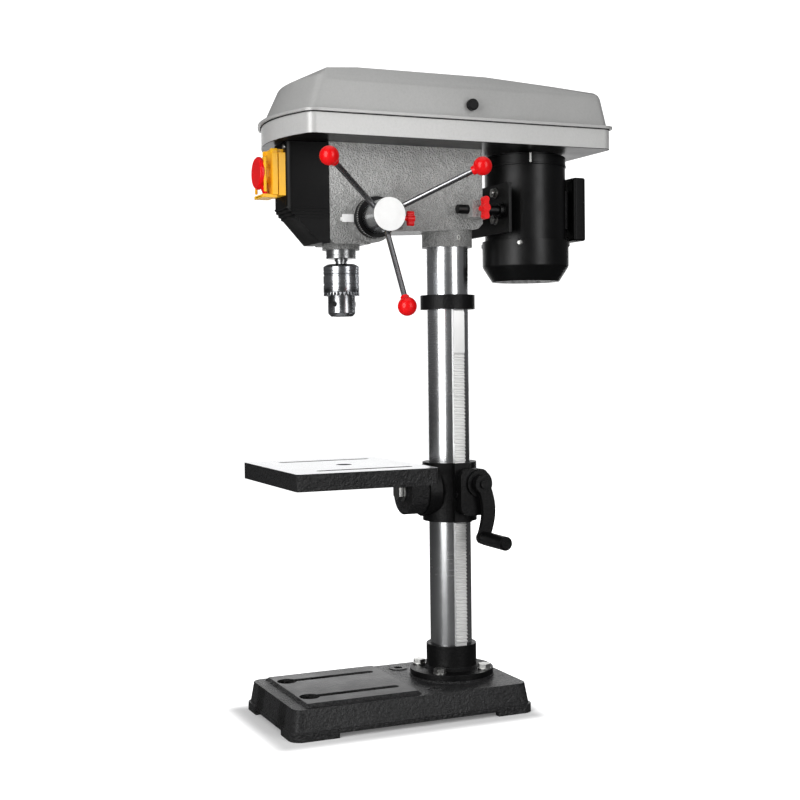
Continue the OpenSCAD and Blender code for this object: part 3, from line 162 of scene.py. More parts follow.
CHUCK_NOSE_RADIUS = 0.0208
CHUCK_BORE_RADIUS = 0.0092
CHUCK_BORE_DEPTH = 0.020
KEY_HOLE_RADIUS = 0.0042
KEY_HOLE_HEIGHT = 0.0185
KEY_HOLE_TURN = -52.0
SLEEVE_WALL = 0.0031
TOOTH_HEIGHT = 0.0046
DEPTH_MARK_RADIUS = 0.0303

MOTOR_RADIUS = 0.064
FAN_SCREW_REACH = 0.0683
FAN_SCREW_TURN = -36.0
CLAMP_BOLT_OFFSET = (0.0615, -0.0235)

TAIL_TILT = 24.0

# Soft shadow on the floor round the base: shift of its middle, and width of its edge
SHADOW_SHIFT = 0.012
SHADOW_EDGE = 0.045


# ---------- Shader node groups ----------


class Tree:
    """Small helper that adds nodes to a node tree and links them"""

    def __init__(self, tree):
        self.tree = tree

    def add(self, kind, values=None, **props):
        node = self.tree.nodes.new(kind)
        for key, value in props.items():
            setattr(node, key, value)
        for key, value in (values or {}).items():
            socket = node.inputs[key]
            if isinstance(value, bpy.types.NodeSocket):
                self.tree.links.new(value, socket)
            else:
                socket.default_value = value
        return node

    def math(self, operation, a, b=0.0, clamp=False):
        node = self.add("ShaderNodeMath", {0: a, 1: b}, operation=operation, use_clamp=clamp)
        return node.outputs[0]

    def vector(self, operation, a, b=(0.0, 0.0, 0.0)):
        return self.add("ShaderNodeVectorMath", {0: a, 1: b}, operation=operation).outputs["Vector"]

    def height(self, where):
        return self.add("ShaderNodeSeparateXYZ", {0: where}).outputs[2]

    def noise(self, vector, scale, detail=3.0, roughness=0.5):
        values = {"Vector": vector, "Scale": scale, "Detail": detail, "Roughness": roughness}
        return self.add("ShaderNodeTexNoise", values).outputs["Fac"]

    def stretch(self, vector, scale):
        return self.add("ShaderNodeMapping", {"Vector": vector, "Scale": scale}).outputs["Vector"]

    def remap(self, value, low, high, to_low=0.0, to_high=1.0):
        values = {"Value": value, "From Min": low, "From Max": high, "To Min": to_low, "To Max": to_high}
        return self.add("ShaderNodeMapRange", values).outputs["Result"]

    def blend(self, factor, a, b):
        return self.add("ShaderNodeMix", {0: factor, 6: a, 7: b}, data_type="RGBA").outputs[2]


def shader_group(name, inputs, outputs, build):
    """Makes a shader node group once and returns it"""
    found = bpy.data.node_groups.get(name)
    if found:
        return found
    group = bpy.data.node_groups.new(name, "ShaderNodeTree")
    for label, default in inputs:
        socket = group.interface.new_socket(label, in_out="INPUT", socket_type="NodeSocketFloat")
        socket.default_value = default
    for label in outputs:
        group.interface.new_socket(label, in_out="OUTPUT", socket_type="NodeSocketFloat")
    tree = Tree(group)
    source = group.nodes.new("NodeGroupInput")
    sink = group.nodes.new("NodeGroupOutput")
    where = group.nodes.new("ShaderNodeTexCoord").outputs["Object"]
    for label, value in build(tree, source, where).items():
        group.links.new(value, sink.inputs[label])
    return group


def cast_skin():
    """Lumpy cast skin under paint: height for bump and a mottle for colour"""

    def build(t, source, where):
        lumps = t.noise(where, source.outputs["Lumps"], 2.0, 0.45)
        voronoi = t.add("ShaderNodeTexVoronoi", {"Vector": where, "Scale": source.outputs["Pits"]},
                        feature="SMOOTH_F1").outputs["Distance"]
        pits = t.remap(voronoi, 0.05, 0.75)
        fine = t.noise(where, source.outputs["Grit"], 2.0, 0.6)
        height = t.math("ADD", t.math("MULTIPLY", lumps, 1.2), t.math("MULTIPLY", pits, 0.55))
        height = t.math("ADD", height, t.math("MULTIPLY", fine, 0.3))
        mottle = t.remap(t.math("ADD", lumps, t.math("MULTIPLY", pits, 0.5)), 0.35, 0.95)
        return {"Height": height, "Mottle": mottle}

    return shader_group("Cast Skin", [("Lumps", 90.0), ("Pits", 420.0), ("Grit", 1400.0)],
                        ["Height", "Mottle"], build)


def scuffs():
    """Slow variation and short scratches for roughness and colour"""

    def build(t, source, where):
        cloud = t.noise(where, source.outputs["Size"], 4.0, 0.6)
        finer = t.math("MULTIPLY", source.outputs["Size"], 6.0)
        streak = t.noise(t.stretch(where, (1.0, 7.0, 2.0)), finer, 3.0)
        marks = t.math("MULTIPLY", t.remap(streak, 0.66, 0.74), 0.35)
        soft = t.remap(cloud, 0.3, 0.7)
        return {"Cloud": soft, "Value": t.math("ADD", soft, marks, clamp=True)}

    return shader_group("Scuffs", [("Size", 9.0)], ["Cloud", "Value"], build)


def tool_lines():
    """Fine parallel lines left by a tool, across the chosen axis"""

    def build(t, source, where):
        gather = t.add("ShaderNodeCombineXYZ", {0: source.outputs["X"], 1: source.outputs["Y"],
                                                2: source.outputs["Z"]}).outputs[0]
        scaled = t.vector("MULTIPLY", where, gather)
        return {"Lines": t.noise(scaled, 1.0, 3.0, 0.7)}

    return shader_group("Tool Lines", [("X", 2.0), ("Y", 2.0), ("Z", 1500.0)], ["Lines"], build)


# ---------- Materials ----------

_made = {}


def material(name, build):
    """Makes a material once; build gets the tree, the Principled BSDF and the Object coordinates"""
    if name in _made:
        return _made[name]
    made = bpy.data.materials.new(name)
    made.use_nodes = True
    tree = Tree(made.node_tree)
    shader = made.node_tree.nodes["Principled BSDF"]
    where = made.node_tree.nodes.new("ShaderNodeTexCoord").outputs["Object"]
    build(tree, shader, where)
    _made[name] = made
    return made


def rgba(colour, factor=1.0):
    """A colour, made paler or darker, with its alpha"""
    return (colour[0] * factor, colour[1] * factor, colour[2] * factor, 1.0)


def use_group(tree, group, **values):
    """Places a shader node group with its own values"""
    node = tree.add("ShaderNodeGroup", node_tree=group)
    for key, value in values.items():
        node.inputs[key].default_value = value
    return node


def bump(tree, shader, height, strength, distance):
    """Joins a height to the shader's normal"""
    node = tree.add("ShaderNodeBump", {"Height": height, "Strength": strength, "Distance": distance})
    tree.tree.links.new(node.outputs["Normal"], shader.inputs["Normal"])


def feed(tree, socket, value):
    """Links a value into a socket"""
    tree.tree.links.new(value, socket)


def slot_shade_mask(t, where):
    """1 in the region of the base's keyhole slots, seen from above"""
    x, y = t.add("ShaderNodeSeparateXYZ", {0: where}).outputs[:2]
    aside = t.math("ABSOLUTE", t.math("SUBTRACT", t.math("ABSOLUTE", x), SLOT_ASIDE))
    ahead = t.math("ABSOLUTE", t.math("SUBTRACT", y, SLOT_MIDDLE))
    return t.math("MULTIPLY", t.math("LESS_THAN", aside, SLOT_HALF_WIDTH),
                  t.math("LESS_THAN", ahead, SLOT_HALF_LENGTH))


def cast_paint(name, colour, pale, dark, rough, strength, distance, metal=0.0, coat=0.2, gloss=0.5,
               painted_shade_from=None, pad_top=None, **skin_values):
    """Paint over a cast surface, with lumps, pits and a mottled tone

    grime_from is the height where grime is darkest, and pad_top that of a smooth pad with dark slots in it
    """

    def build(t, shader, where):
        skin = use_group(t, cast_skin(), **skin_values)
        wear = use_group(t, scuffs(), Size=11.0)
        tone = t.blend(skin.outputs["Mottle"], rgba(colour, dark), rgba(colour, pale))
        tone = t.blend(t.math("MULTIPLY", wear.outputs["Cloud"], 0.35), tone, rgba(colour, 0.8 * dark))
        relief = skin.outputs["Height"]
        if painted_shade_from is not None:
            # Painted shade: the paint gets darker towards the foot of the casting
            lowness = t.remap(t.height(where), painted_shade_from + PAINTED_SHADE_REACH, painted_shade_from)
            painted_shade = t.math("MULTIPLY", lowness, PAINTED_SHADE_AMOUNT, clamp=True)
            tone = t.blend(painted_shade, tone, rgba(colour, 0.12))
        if pad_top is not None:
            flat = t.math("GREATER_THAN", t.height(where), pad_top - PAD_EDGE)
            slot_painted_shade = t.math("MULTIPLY", slot_shade_mask(t, where), t.math("SUBTRACT", 1.0, flat))
            # The pad's top face is painted paler: a painted sheen
            tone = t.blend(flat, tone, rgba(colour, 2.4))
            # Inside the keyhole slots the paint is black: painted shade
            tone = t.blend(slot_painted_shade, tone, (0.0, 0.0, 0.0, 1.0))
            relief = t.math("MULTIPLY", relief, t.remap(flat, 0.0, 1.0, 1.0, 0.12))
        feed(t, shader.inputs["Base Color"], tone)
        feed(t, shader.inputs["Roughness"], t.remap(wear.outputs["Value"], 0.0, 1.0, rough, rough + 0.18))
        shader.inputs["Metallic"].default_value = metal
        shader.inputs["Coat Weight"].default_value = coat
        shader.inputs["Coat Roughness"].default_value = 0.25
        shader.inputs["Specular IOR Level"].default_value = gloss
        bump(t, shader, relief, strength, distance)

    return material(name, build)


def hammer_paint():
    """Grey hammer finish of the head casting"""
    # The head casting's paint gets painted shade towards its foot
    return cast_paint("Hammer Paint", colours().hammer_grey, pale=1.16, dark=0.84, rough=0.34, strength=1.0,
                      distance=0.004, metal=0.1, coat=0.3, painted_shade_from=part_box("head_casting")[0].z,
                      Lumps=70.0, Pits=420.0, Grit=1000.0)


def casting_black():
    """Rough black paint of the base"""
    # The base's pad gets a painted sheen on its top and painted shade inside its keyhole slots
    return cast_paint("Casting Black", colours().casting_black, pale=2.2, dark=0.3, rough=0.36, strength=1.0,
                      distance=0.0032, coat=0.15, gloss=0.42, pad_top=PAD_TOP,
                      Lumps=190.0, Pits=400.0, Grit=1200.0)


def machined_black():
    """Smoother black of the bracket, flange, collar and crank"""
    colour = [0.35 * part for part in colours().casting_black]
    return cast_paint("Machined Black", colour, pale=1.3, dark=0.5, rough=0.34, strength=0.5,
                      distance=0.0007, coat=0.0, gloss=0.22, Lumps=150.0, Pits=500.0, Grit=1500.0)


def cover_paint(name="Cover Paint", shade=1.0):
    """Satin spray paint on pressed sheet, with the pan's underside left dark"""

    def build(t, shader, where):
        wear = use_group(t, scuffs(), Size=5.0)
        skin = use_group(t, cast_skin(), Lumps=260.0, Pits=900.0, Grit=2600.0)
        # shade makes a paler copy of the paint: for the pan this is painted light
        colour = [shade * part for part in colours().cover_grey]
        # Painted shade: the pan's underside is painted near black
        under = t.math("LESS_THAN", t.height(where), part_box("belt_pan")[0].z + PAN_UNDER_SHADE_DEPTH)
        tone = t.blend(wear.outputs["Cloud"], rgba(colour, 0.93), rgba(colour, 1.07))
        fleck = t.blend(t.math("MULTIPLY", skin.outputs["Mottle"], 0.25), tone, rgba(colour, 1.35))
        feed(t, shader.inputs["Base Color"], t.blend(under, fleck, (0.005, 0.005, 0.005, 1.0)))
        feed(t, shader.inputs["Roughness"], t.remap(wear.outputs["Value"], 0.0, 1.0, 0.3, 0.42))
        shader.inputs["Metallic"].default_value = 0.15
        shader.inputs["Specular IOR Level"].default_value = 0.3
        shader.inputs["Coat Weight"].default_value = 0.12
        shader.inputs["Coat Roughness"].default_value = 0.2
        bump(t, shader, skin.outputs["Height"], 0.12, 0.0004)

    return material(name, build)


def steel(name, tone, rough, lines, line_strength=0.12, metal=1.0, stain=0.15):
    """Bare metal with tool lines and faint stains; lines is the stretch of the tool marks"""

    def build(t, shader, where):
        cut = use_group(t, tool_lines(), X=lines[0], Y=lines[1], Z=lines[2])
        wear = use_group(t, scuffs(), Size=16.0)
        shade = t.math("MULTIPLY", wear.outputs["Cloud"], stain)
        feed(t, shader.inputs["Base Color"], t.blend(shade, rgba(tone), rgba(tone, 0.55)))
        spread = t.math("ADD", t.math("MULTIPLY", cut.outputs["Lines"], 0.14),
                        t.math("MULTIPLY", wear.outputs["Value"], 0.08))
        feed(t, shader.inputs["Roughness"], t.math("ADD", spread, rough))
        shader.inputs["Metallic"].default_value = metal
        bump(t, shader, cut.outputs["Lines"], line_strength, 0.0002)

    return material(name, build)


def column_steel():
    return steel("Column Steel", (0.80, 0.81, 0.82), rough=0.13, lines=(3.0, 3.0, 900.0), stain=0.2)


def turned_z():
    """Steel turned about an upright axis"""
    return steel("Turned Steel", (0.36, 0.365, 0.37), rough=0.18, lines=(5.0, 5.0, 900.0), line_strength=0.05)


def turned_x():
    """Steel turned about an axis across the machine"""
    return steel("Turned Across", (0.72, 0.73, 0.74), rough=0.12, lines=(2600.0, 5.0, 5.0))


def chrome():
    return steel("Chrome Plate", (0.48, 0.49, 0.51), rough=0.12, lines=(4.0, 4.0, 700.0), line_strength=0.14,
                 stain=0.1)


def rod_steel():
    return steel("Rod Steel", (0.36, 0.36, 0.37), rough=0.16, lines=(300.0, 300.0, 300.0), line_strength=0.03,
                 stain=0.2)


def zinc():
    return steel("Zinc Plate", (0.62, 0.62, 0.60), rough=0.22, lines=(300.0, 300.0, 300.0),
                 line_strength=0.15, stain=0.3)


def rack_steel():
    return steel("Rack Steel", (0.90, 0.90, 0.89), rough=0.38, lines=(300.0, 300.0, 500.0), metal=0.7,
                 stain=0.1)


def alloy():
    """Cast and turned alloy of the pulleys"""
    return steel("Cast Alloy", (0.70, 0.71, 0.72), rough=0.25, lines=(20.0, 20.0, 1800.0), line_strength=0.3,
                 stain=0.2)


def plastic(name, colour, rough, grain=0.05, coat=0.0, gloss=0.5):
    """Moulded plastic with a fine grain and a little handling wear"""

    def build(t, shader, where):
        wear = use_group(t, scuffs(), Size=22.0)
        fine = t.noise(where, 2400.0, 2.0, 0.6)
        tone = t.blend(wear.outputs["Cloud"], rgba(colour, 0.9), rgba(colour, 1.08))
        feed(t, shader.inputs["Base Color"], tone)
        feed(t, shader.inputs["Roughness"], t.remap(wear.outputs["Value"], 0.0, 1.0, rough, rough + 0.14))
        shader.inputs["Coat Weight"].default_value = coat
        shader.inputs["Coat Roughness"].default_value = 0.05
        shader.inputs["Specular IOR Level"].default_value = gloss
        bump(t, shader, fine, grain, 0.0003)

    return material(name, build)


def red_plastic():
    return plastic("Red Plastic", colours().signal_red, rough=0.3, grain=0.02, coat=0.3, gloss=0.2)


def yellow_plastic():
    return plastic("Yellow Plastic", colours().signal_yellow, rough=0.34, grain=0.08)


def black_plastic():
    return plastic("Black Plastic", (0.002, 0.002, 0.0022), rough=0.36, grain=0.15, gloss=0.18)


def satin_black():
    return plastic("Satin Black", (0.002, 0.002, 0.0022), rough=0.3, grain=0.12, gloss=0.32)


def white_plastic():
    return plastic("White Plastic", (0.93, 0.93, 0.92), rough=0.4)


def green_plastic():
    return plastic("Green Plastic", (0.01, 0.28, 0.07), rough=0.3)


def rubber():
    return plastic("Rubber", (0.008, 0.008, 0.008), rough=0.65, grain=0.3, gloss=0.3)


def table_finish():
    """Ground top face over black painted sides"""

    def build(t, shader, where):
        ground = t.math("GREATER_THAN", t.height(where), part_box("table")[1].z - TABLE_FACE)
        skin = use_group(t, cast_skin(), Lumps=110.0, Pits=420.0, Grit=1500.0)
        cut = use_group(t, tool_lines(), X=6.0, Y=1400.0, Z=6.0)
        wear = use_group(t, scuffs(), Size=7.0)
        black = t.blend(skin.outputs["Mottle"], rgba(colours().casting_black, 0.6),
                        rgba(colours().casting_black, 1.0))
        bright = t.blend(t.math("MULTIPLY", wear.outputs["Cloud"], 0.25), (0.78, 0.79, 0.80, 1.0),
                         (0.60, 0.60, 0.60, 1.0))
        feed(t, shader.inputs["Base Color"], t.blend(ground, black, bright))
        feed(t, shader.inputs["Metallic"], ground)
        shine = t.math("ADD", t.math("MULTIPLY", cut.outputs["Lines"], 0.2), 0.2)
        rough = t.add("ShaderNodeMix", {0: ground, 2: 0.45, 3: shine}).outputs[0]
        feed(t, shader.inputs["Roughness"], rough)
        flat = t.math("MULTIPLY", cut.outputs["Lines"], 0.02)
        relief = t.add("ShaderNodeMix", {0: ground, 2: skin.outputs["Height"], 3: flat}).outputs[0]
        bump(t, shader, relief, 1.0, 0.0025)

    return material("Table Finish", build)


def stage_paint():
    """White floor that glows to the camera, except in a soft shadow close round the base"""

    def build(t, shader, where):
        rays = t.add("ShaderNodeLightPath").outputs
        # Painted reflection: the floor shows dark grey in reflections, though it is pale everywhere else
        shade = t.blend(rays["Is Glossy Ray"], (0.86, 0.86, 0.86, 1.0), (0.12, 0.12, 0.12, 1.0))
        feed(t, shader.inputs["Base Color"], shade)
        shader.inputs["Roughness"].default_value = 0.8
        shader.inputs["Specular IOR Level"].default_value = 0.0
        shader.inputs["Emission Color"].default_value = (1.0, 1.0, 1.0, 1.0)
        low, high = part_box("base_casting")
        centre = ((low.x + high.x) / 2 + SHADOW_SHIFT, (low.y + high.y) / 2 - SHADOW_SHIFT, 0.0)
        half = ((high.x - low.x) / 2, (high.y - low.y) / 2, 1.0)
        inward = t.vector("ABSOLUTE", t.vector("SUBTRACT", where, centre))
        outside = t.vector("MAXIMUM", t.vector("SUBTRACT", inward, half), (0.0, 0.0, 0.0))
        away = t.add("ShaderNodeVectorMath", {0: outside}, operation="LENGTH").outputs["Value"]
        ramp = {"Value": away, "From Min": 0.0, "From Max": SHADOW_EDGE, "To Min": 0.12, "To Max": 1.1}
        glow = t.add("ShaderNodeMapRange", ramp, interpolation_type="SMOOTHSTEP").outputs["Result"]
        feed(t, shader.inputs["Emission Strength"], t.math("MULTIPLY", rays["Is Camera Ray"], glow))

    return material("Stage White", build)


# ---------- Mesh helpers ----------


def body_of(node):
    """Body that a CAD node moves with"""
    for body, members in frame["record"]["behaviour"]["bodies"].items():
        if node in members:
            return body
    raise RuntimeError(f"no body holds {node}")


def dress(node, finish):
    """Gives a CAD node its finish"""
    data = frame["nodes"][node].data
    data.materials.clear()
    data.materials.append(finish)


def middle(node):
    """Centre of a CAD node's box"""
    low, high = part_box(node)
    return (low + high) / 2


def new_piece(name, mesh, finish, body, hides=()):
    """Links a finished mesh as a piece that rides on a body"""
    mesh.name = name
    mesh.materials.clear()
    mesh.materials.append(finish)
    piece = bpy.data.objects.new(name, mesh)
    bpy.context.scene.collection.objects.link(piece)
    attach(piece, body)
    if hides:
        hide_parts(*hides)
    return piece


def baked(mesh, modifiers):
    """Runs modifiers, given as (type, settings), on a mesh and returns the result as a plain mesh"""
    holder = bpy.data.objects.new("work", mesh)
    bpy.context.scene.collection.objects.link(holder)
    for kind, settings in modifiers:
        modifier = holder.modifiers.new(kind, kind)
        for key, value in settings.items():
            setattr(modifier, key, value)
    bpy.context.view_layer.update()
    result = bpy.data.meshes.new_from_object(holder.evaluated_get(bpy.context.evaluated_depsgraph_get()))
    bpy.data.objects.remove(holder)
    return result


def smooth(mesh, angle=32.0):
    mesh.shade_smooth()
    mesh.set_sharp_from_angle(angle=math.radians(angle))
    return mesh


def merged(node):
    """A CAD node's shape with its loose triangles joined"""
    form = bmesh.new()
    form.from_mesh(frame["nodes"][node].data)
    bmesh.ops.remove_doubles(form, verts=form.verts, dist=MERGE_GAP)
    return form


def flatten(form, angle=FLAT_ANGLE):
    """Drops the edges inside flat faces"""
    bmesh.ops.dissolve_limit(form, angle_limit=angle, verts=form.verts, edges=form.edges)


def eased(node, finish, segments=2, radius=None):
    """Stands in for a CAD node: its own shape with the sharp edges rounded off"""
    form = merged(node)
    flatten(form)
    mesh = bpy.data.meshes.new(node)
    form.to_mesh(mesh)
    form.free()
    settings = {"width": radius or EDGE_RADIUS[node], "segments": segments, "limit_method": "ANGLE",
                "angle_limit": math.radians(32.0), "use_clamp_overlap": True, "miter_outer": "MITER_ARC"}
    rounded = smooth(baked(mesh, [("BEVEL", settings)]), 48.0)
    result = baked(rounded, [("WEIGHTED_NORMAL", {"keep_sharp": True, "weight": 90})])
    return new_piece(node + "_finish", result, finish, body_of(node), [node])


def mesh_of(form, angle=32.0):
    """Turns a bmesh into a smooth-shaded mesh"""
    mesh = bpy.data.meshes.new("made")
    form.to_mesh(mesh)
    form.free()
    return smooth(mesh, angle)


def turned(profile, place, steps=96, angle=32.0):
    """Solid of revolution about local Z: profile is (radius, height) pairs"""
    form = bmesh.new()
    rings = []
    for radius, height in profile:
        if radius == 0.0:
            rings.append([form.verts.new((0.0, 0.0, height))])
        else:
            rings.append([form.verts.new((radius * math.cos(a), radius * math.sin(a), height))
                          for a in (2 * math.pi * i / steps for i in range(steps))])
    for one, two in zip(rings, rings[1:]):
        for i in range(steps):
            k = (i + 1) % steps
            corners = [one[0] if len(one) == 1 else one[i], one[0] if len(one) == 1 else one[k],
                       two[0] if len(two) == 1 else two[k], two[0] if len(two) == 1 else two[i]]
            unique = list(dict.fromkeys(corners))
            if len(unique) > 2:
                form.faces.new(unique)
    bmesh.ops.recalc_face_normals(form, faces=form.faces)
    form.transform(place)
    return mesh_of(form, angle)


def along(axis, origin):
    """Matrix that puts local Z along an axis, at an origin"""
    turn = Vector((0, 0, 1)).rotation_difference(Vector(axis))
    return Matrix.Translation(origin) @ turn.to_matrix().to_4x4()


def turn_about(axis, degrees):
    return Matrix.Rotation(math.radians(degrees), 4, axis)


def joined(meshes):
    """One mesh from several"""
    form = bmesh.new()
    for mesh in meshes:
        form.from_mesh(mesh)
    return mesh_of(form)


# ---------- Geometry Nodes ----------


def ring_tree():
    """Repeats the incoming mesh round Z, facing outwards"""
    found = bpy.data.node_groups.get("Ring Of Pieces")
    if found:
        return found
    group = bpy.data.node_groups.new("Ring Of Pieces", "GeometryNodeTree")
    face = group.interface
    face.new_socket("Geometry", in_out="INPUT", socket_type="NodeSocketGeometry")
    face.new_socket("Count", in_out="INPUT", socket_type="NodeSocketInt").default_value = 12
    face.new_socket("Radius", in_out="INPUT", socket_type="NodeSocketFloat").default_value = 0.01
    face.new_socket("Material", in_out="INPUT", socket_type="NodeSocketMaterial")
    face.new_socket("Geometry", in_out="OUTPUT", socket_type="NodeSocketGeometry")
    t = Tree(group)
    source = group.nodes.new("NodeGroupInput").outputs
    circle = t.add("GeometryNodeMeshCircle", {"Vertices": source["Count"], "Radius": source["Radius"]})
    outward = t.add("FunctionNodeAlignRotationToVector",
                    {"Vector": t.add("GeometryNodeInputPosition").outputs[0]}, axis="X", pivot_axis="Z")
    copies = t.add("GeometryNodeInstanceOnPoints", {
        "Points": circle.outputs[0], "Instance": source["Geometry"], "Rotation": outward.outputs[0]})
    real = t.add("GeometryNodeRealizeInstances", {"Geometry": copies.outputs[0]})
    painted = t.add("GeometryNodeSetMaterial", {"Geometry": real.outputs[0], "Material": source["Material"]})
    group.links.new(painted.outputs[0], group.nodes.new("NodeGroupOutput").inputs[0])
    return group


def ring_of(mesh, count, radius, finish, place):
    """Plain mesh of count copies of a mesh round an axis"""
    holder = bpy.data.objects.new("ring", mesh)
    bpy.context.scene.collection.objects.link(holder)
    modifier = holder.modifiers.new("Ring", "NODES")
    modifier.node_group = ring_tree()
    names = {s.name: s.identifier for s in modifier.node_group.interface.items_tree if s.in_out == "INPUT"}
    modifier[names["Count"]] = count
    modifier[names["Radius"]] = radius
    modifier[names["Material"]] = finish
    bpy.context.view_layer.update()
    result = bpy.data.meshes.new_from_object(holder.evaluated_get(bpy.context.evaluated_depsgraph_get()))
    holder.modifiers.remove(modifier)
    bpy.data.objects.remove(holder)
    result.transform(place)
    return smooth(result)


def block(size, origin=(0.0, 0.0, 0.0), edge=0.0):
    """Box with eased edges"""
    form = bmesh.new()
    bmesh.ops.create_cube(form, size=1.0)
    form.transform(Matrix.Translation(origin) @ Matrix.Diagonal((*size, 1.0)))
    if edge:
        bmesh.ops.bevel(form, geom=form.edges, offset=edge, segments=2, affect="EDGES", profile=0.5)
    return mesh_of(form)


# ---------- Pieces ----------


def castings():
    rounded = sizes()
    eased("base_casting", casting_black(), 3, rounded.base_edge)
    for node in ("column_flange", "table_bracket", "rack_collar"):
        eased(node, machined_black(), 3, rounded.bracket_edge)
    eased("head_casting", hammer_paint(), 3, rounded.head_edge)
    eased("table", table_finish())


def lid_dome():
    """The lid's dome as a sheet, rounded all over: the hull of the lid's upper points"""
    form = merged("belt_lid")
    flatten(form)
    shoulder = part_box("belt_lid")[1].z - DOME_DEPTH
    points = [v.co.copy() for v in form.verts if v.co.z > shoulder]
    for v in form.verts:
        if v.co.z < shoulder and any(e.other_vert(v).co.z > shoulder for e in v.link_edges):
            points.append(v.co.copy())
    form.free()
    form = bmesh.new()
    for point in points:
        form.verts.new(point)
    bmesh.ops.remove_doubles(form, verts=form.verts, dist=100 * MERGE_GAP)
    bmesh.ops.convex_hull(form, input=form.verts)
    loose = [v for v in form.verts if not v.link_faces]
    bmesh.ops.delete(form, geom=loose, context="VERTS")
    flatten(form, math.radians(2.0))
    under = [f for f in form.faces if f.normal.z < -0.5]
    bmesh.ops.delete(form, geom=under, context="FACES")
    rounded = {"width": sizes().lid_shoulder, "segments": 5, "limit_method": "ANGLE",
               "angle_limit": math.radians(10.0), "use_clamp_overlap": True}
    sheet = {"thickness": sizes().lid_wall, "offset": -1.0}
    return baked(mesh_of(form), [("BEVEL", rounded), ("SOLIDIFY", sheet)])


def lid():
    """The lid: rounded dome, its lip and the hinge blocks"""
    dome = lid_dome()
    form = merged("belt_lid")
    lip_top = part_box("belt_lid")[0].z + LIP_HEIGHT
    upper = [v for v in form.verts if v.co.z > lip_top]
    bmesh.ops.delete(form, geom=upper, context="VERTS")
    form.from_mesh(dome)
    mesh = smooth(mesh_of(form), 30.0)
    new_piece("belt_lid_finish", mesh, cover_paint(), body_of("belt_lid"),
              ["belt_lid"])


def covers():
    # The pan gets a paler copy of the lid's paint: painted light
    eased("belt_pan", cover_paint("Pan Paint Painted Light", PAN_PAINTED_LIGHT), 4, sizes().pan_edge)
    eased("front_cover", black_plastic())
    lid()
    dress("lid_seal", rubber())
    dress("lid_hinge_pins", zinc())
    eased("lid_knob", black_plastic(), 3)


def column_parts():
    eased("column_tube", column_steel())
    eased("rack", rack_steel(), 1)


def lift_parts():
    eased("tilt_bolt", zinc())
    dress("lift_gear", turned_z())
    eased("worm_shaft", machined_black())
    eased("crank_arm", machined_black(), 3)
    eased("crank_grip", black_plastic(), 3)
    eased("bracket_lock_handle", satin_black())


def chuck_body():
    """Body and nose of the chuck, with the bore"""
    low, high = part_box("chuck_body")
    sleeve_low, sleeve_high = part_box("chuck_sleeve")
    centre = middle("chuck_body")
    wide = (high.x - low.x) / 2
    inner = wide - 0.0034
    nose = CHUCK_NOSE_RADIUS
    bore = CHUCK_BORE_RADIUS
    top, foot = high.z, low.z
    seat, step = sleeve_high.z, sleeve_low.z
    crown = [(0.0, top), (wide - 0.006, top), (wide - 0.0015, top - 0.0025), (wide, top - 0.0042)]
    groove = [(wide, top - 0.0095), (wide - 0.0006, top - 0.0099), (wide - 0.0006, top - 0.0107),
              (wide, top - 0.0111)]
    shoulder = [(wide, seat + 0.0008), (wide - 0.0008, seat + 0.0002), (inner, seat + 0.0002)]
    neck = [(inner, step + 0.004), (nose + 0.0004, step + 0.003), (nose, step + 0.002)]
    taper = [(nose, foot + 0.0055), (nose - 0.0012, foot + 0.0035), (nose - 0.0042, foot + 0.0004),
             (nose - 0.005, foot)]
    mouth = [(bore + 0.0013, foot), (bore, foot + 0.0012), (bore, foot + CHUCK_BORE_DEPTH),
             (0.0, foot + CHUCK_BORE_DEPTH + 0.004)]
    body = turned(crown + groove + shoulder + neck + taper + mouth,
                  Matrix.Translation((centre.x, centre.y, 0.0)), 128, 30.0)
    new_piece("chuck_body_finish", body, chrome(), body_of("chuck_body"),
              ["chuck_body"])


def key_hole_shade():
    """Three dark holes for the key round the chuck's nose"""
    rim = KEY_HOLE_RADIUS
    shade_plug = turned([(0.0, 0.0004), (rim - 0.0006, 0.0004), (rim, 0.0), (rim, -0.0012), (0.0, -0.0012)],
                  Matrix.Identity(4), 32)
    shade_plug.transform(turn_about("Y", 90.0))
    centre = middle("chuck_body")
    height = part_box("chuck_body")[0].z + KEY_HOLE_HEIGHT
    place = Matrix.Translation((centre.x, centre.y, height)) @ turn_about("Z", KEY_HOLE_TURN)
    # Black plugs stand in for the shade inside the key's holes
    shade_plugs = ring_of(shade_plug, 3, CHUCK_NOSE_RADIUS - 0.0001, machined_black(), place)
    new_piece("chuck_key_hole_shade", shade_plugs, machined_black(), body_of("chuck_body"))


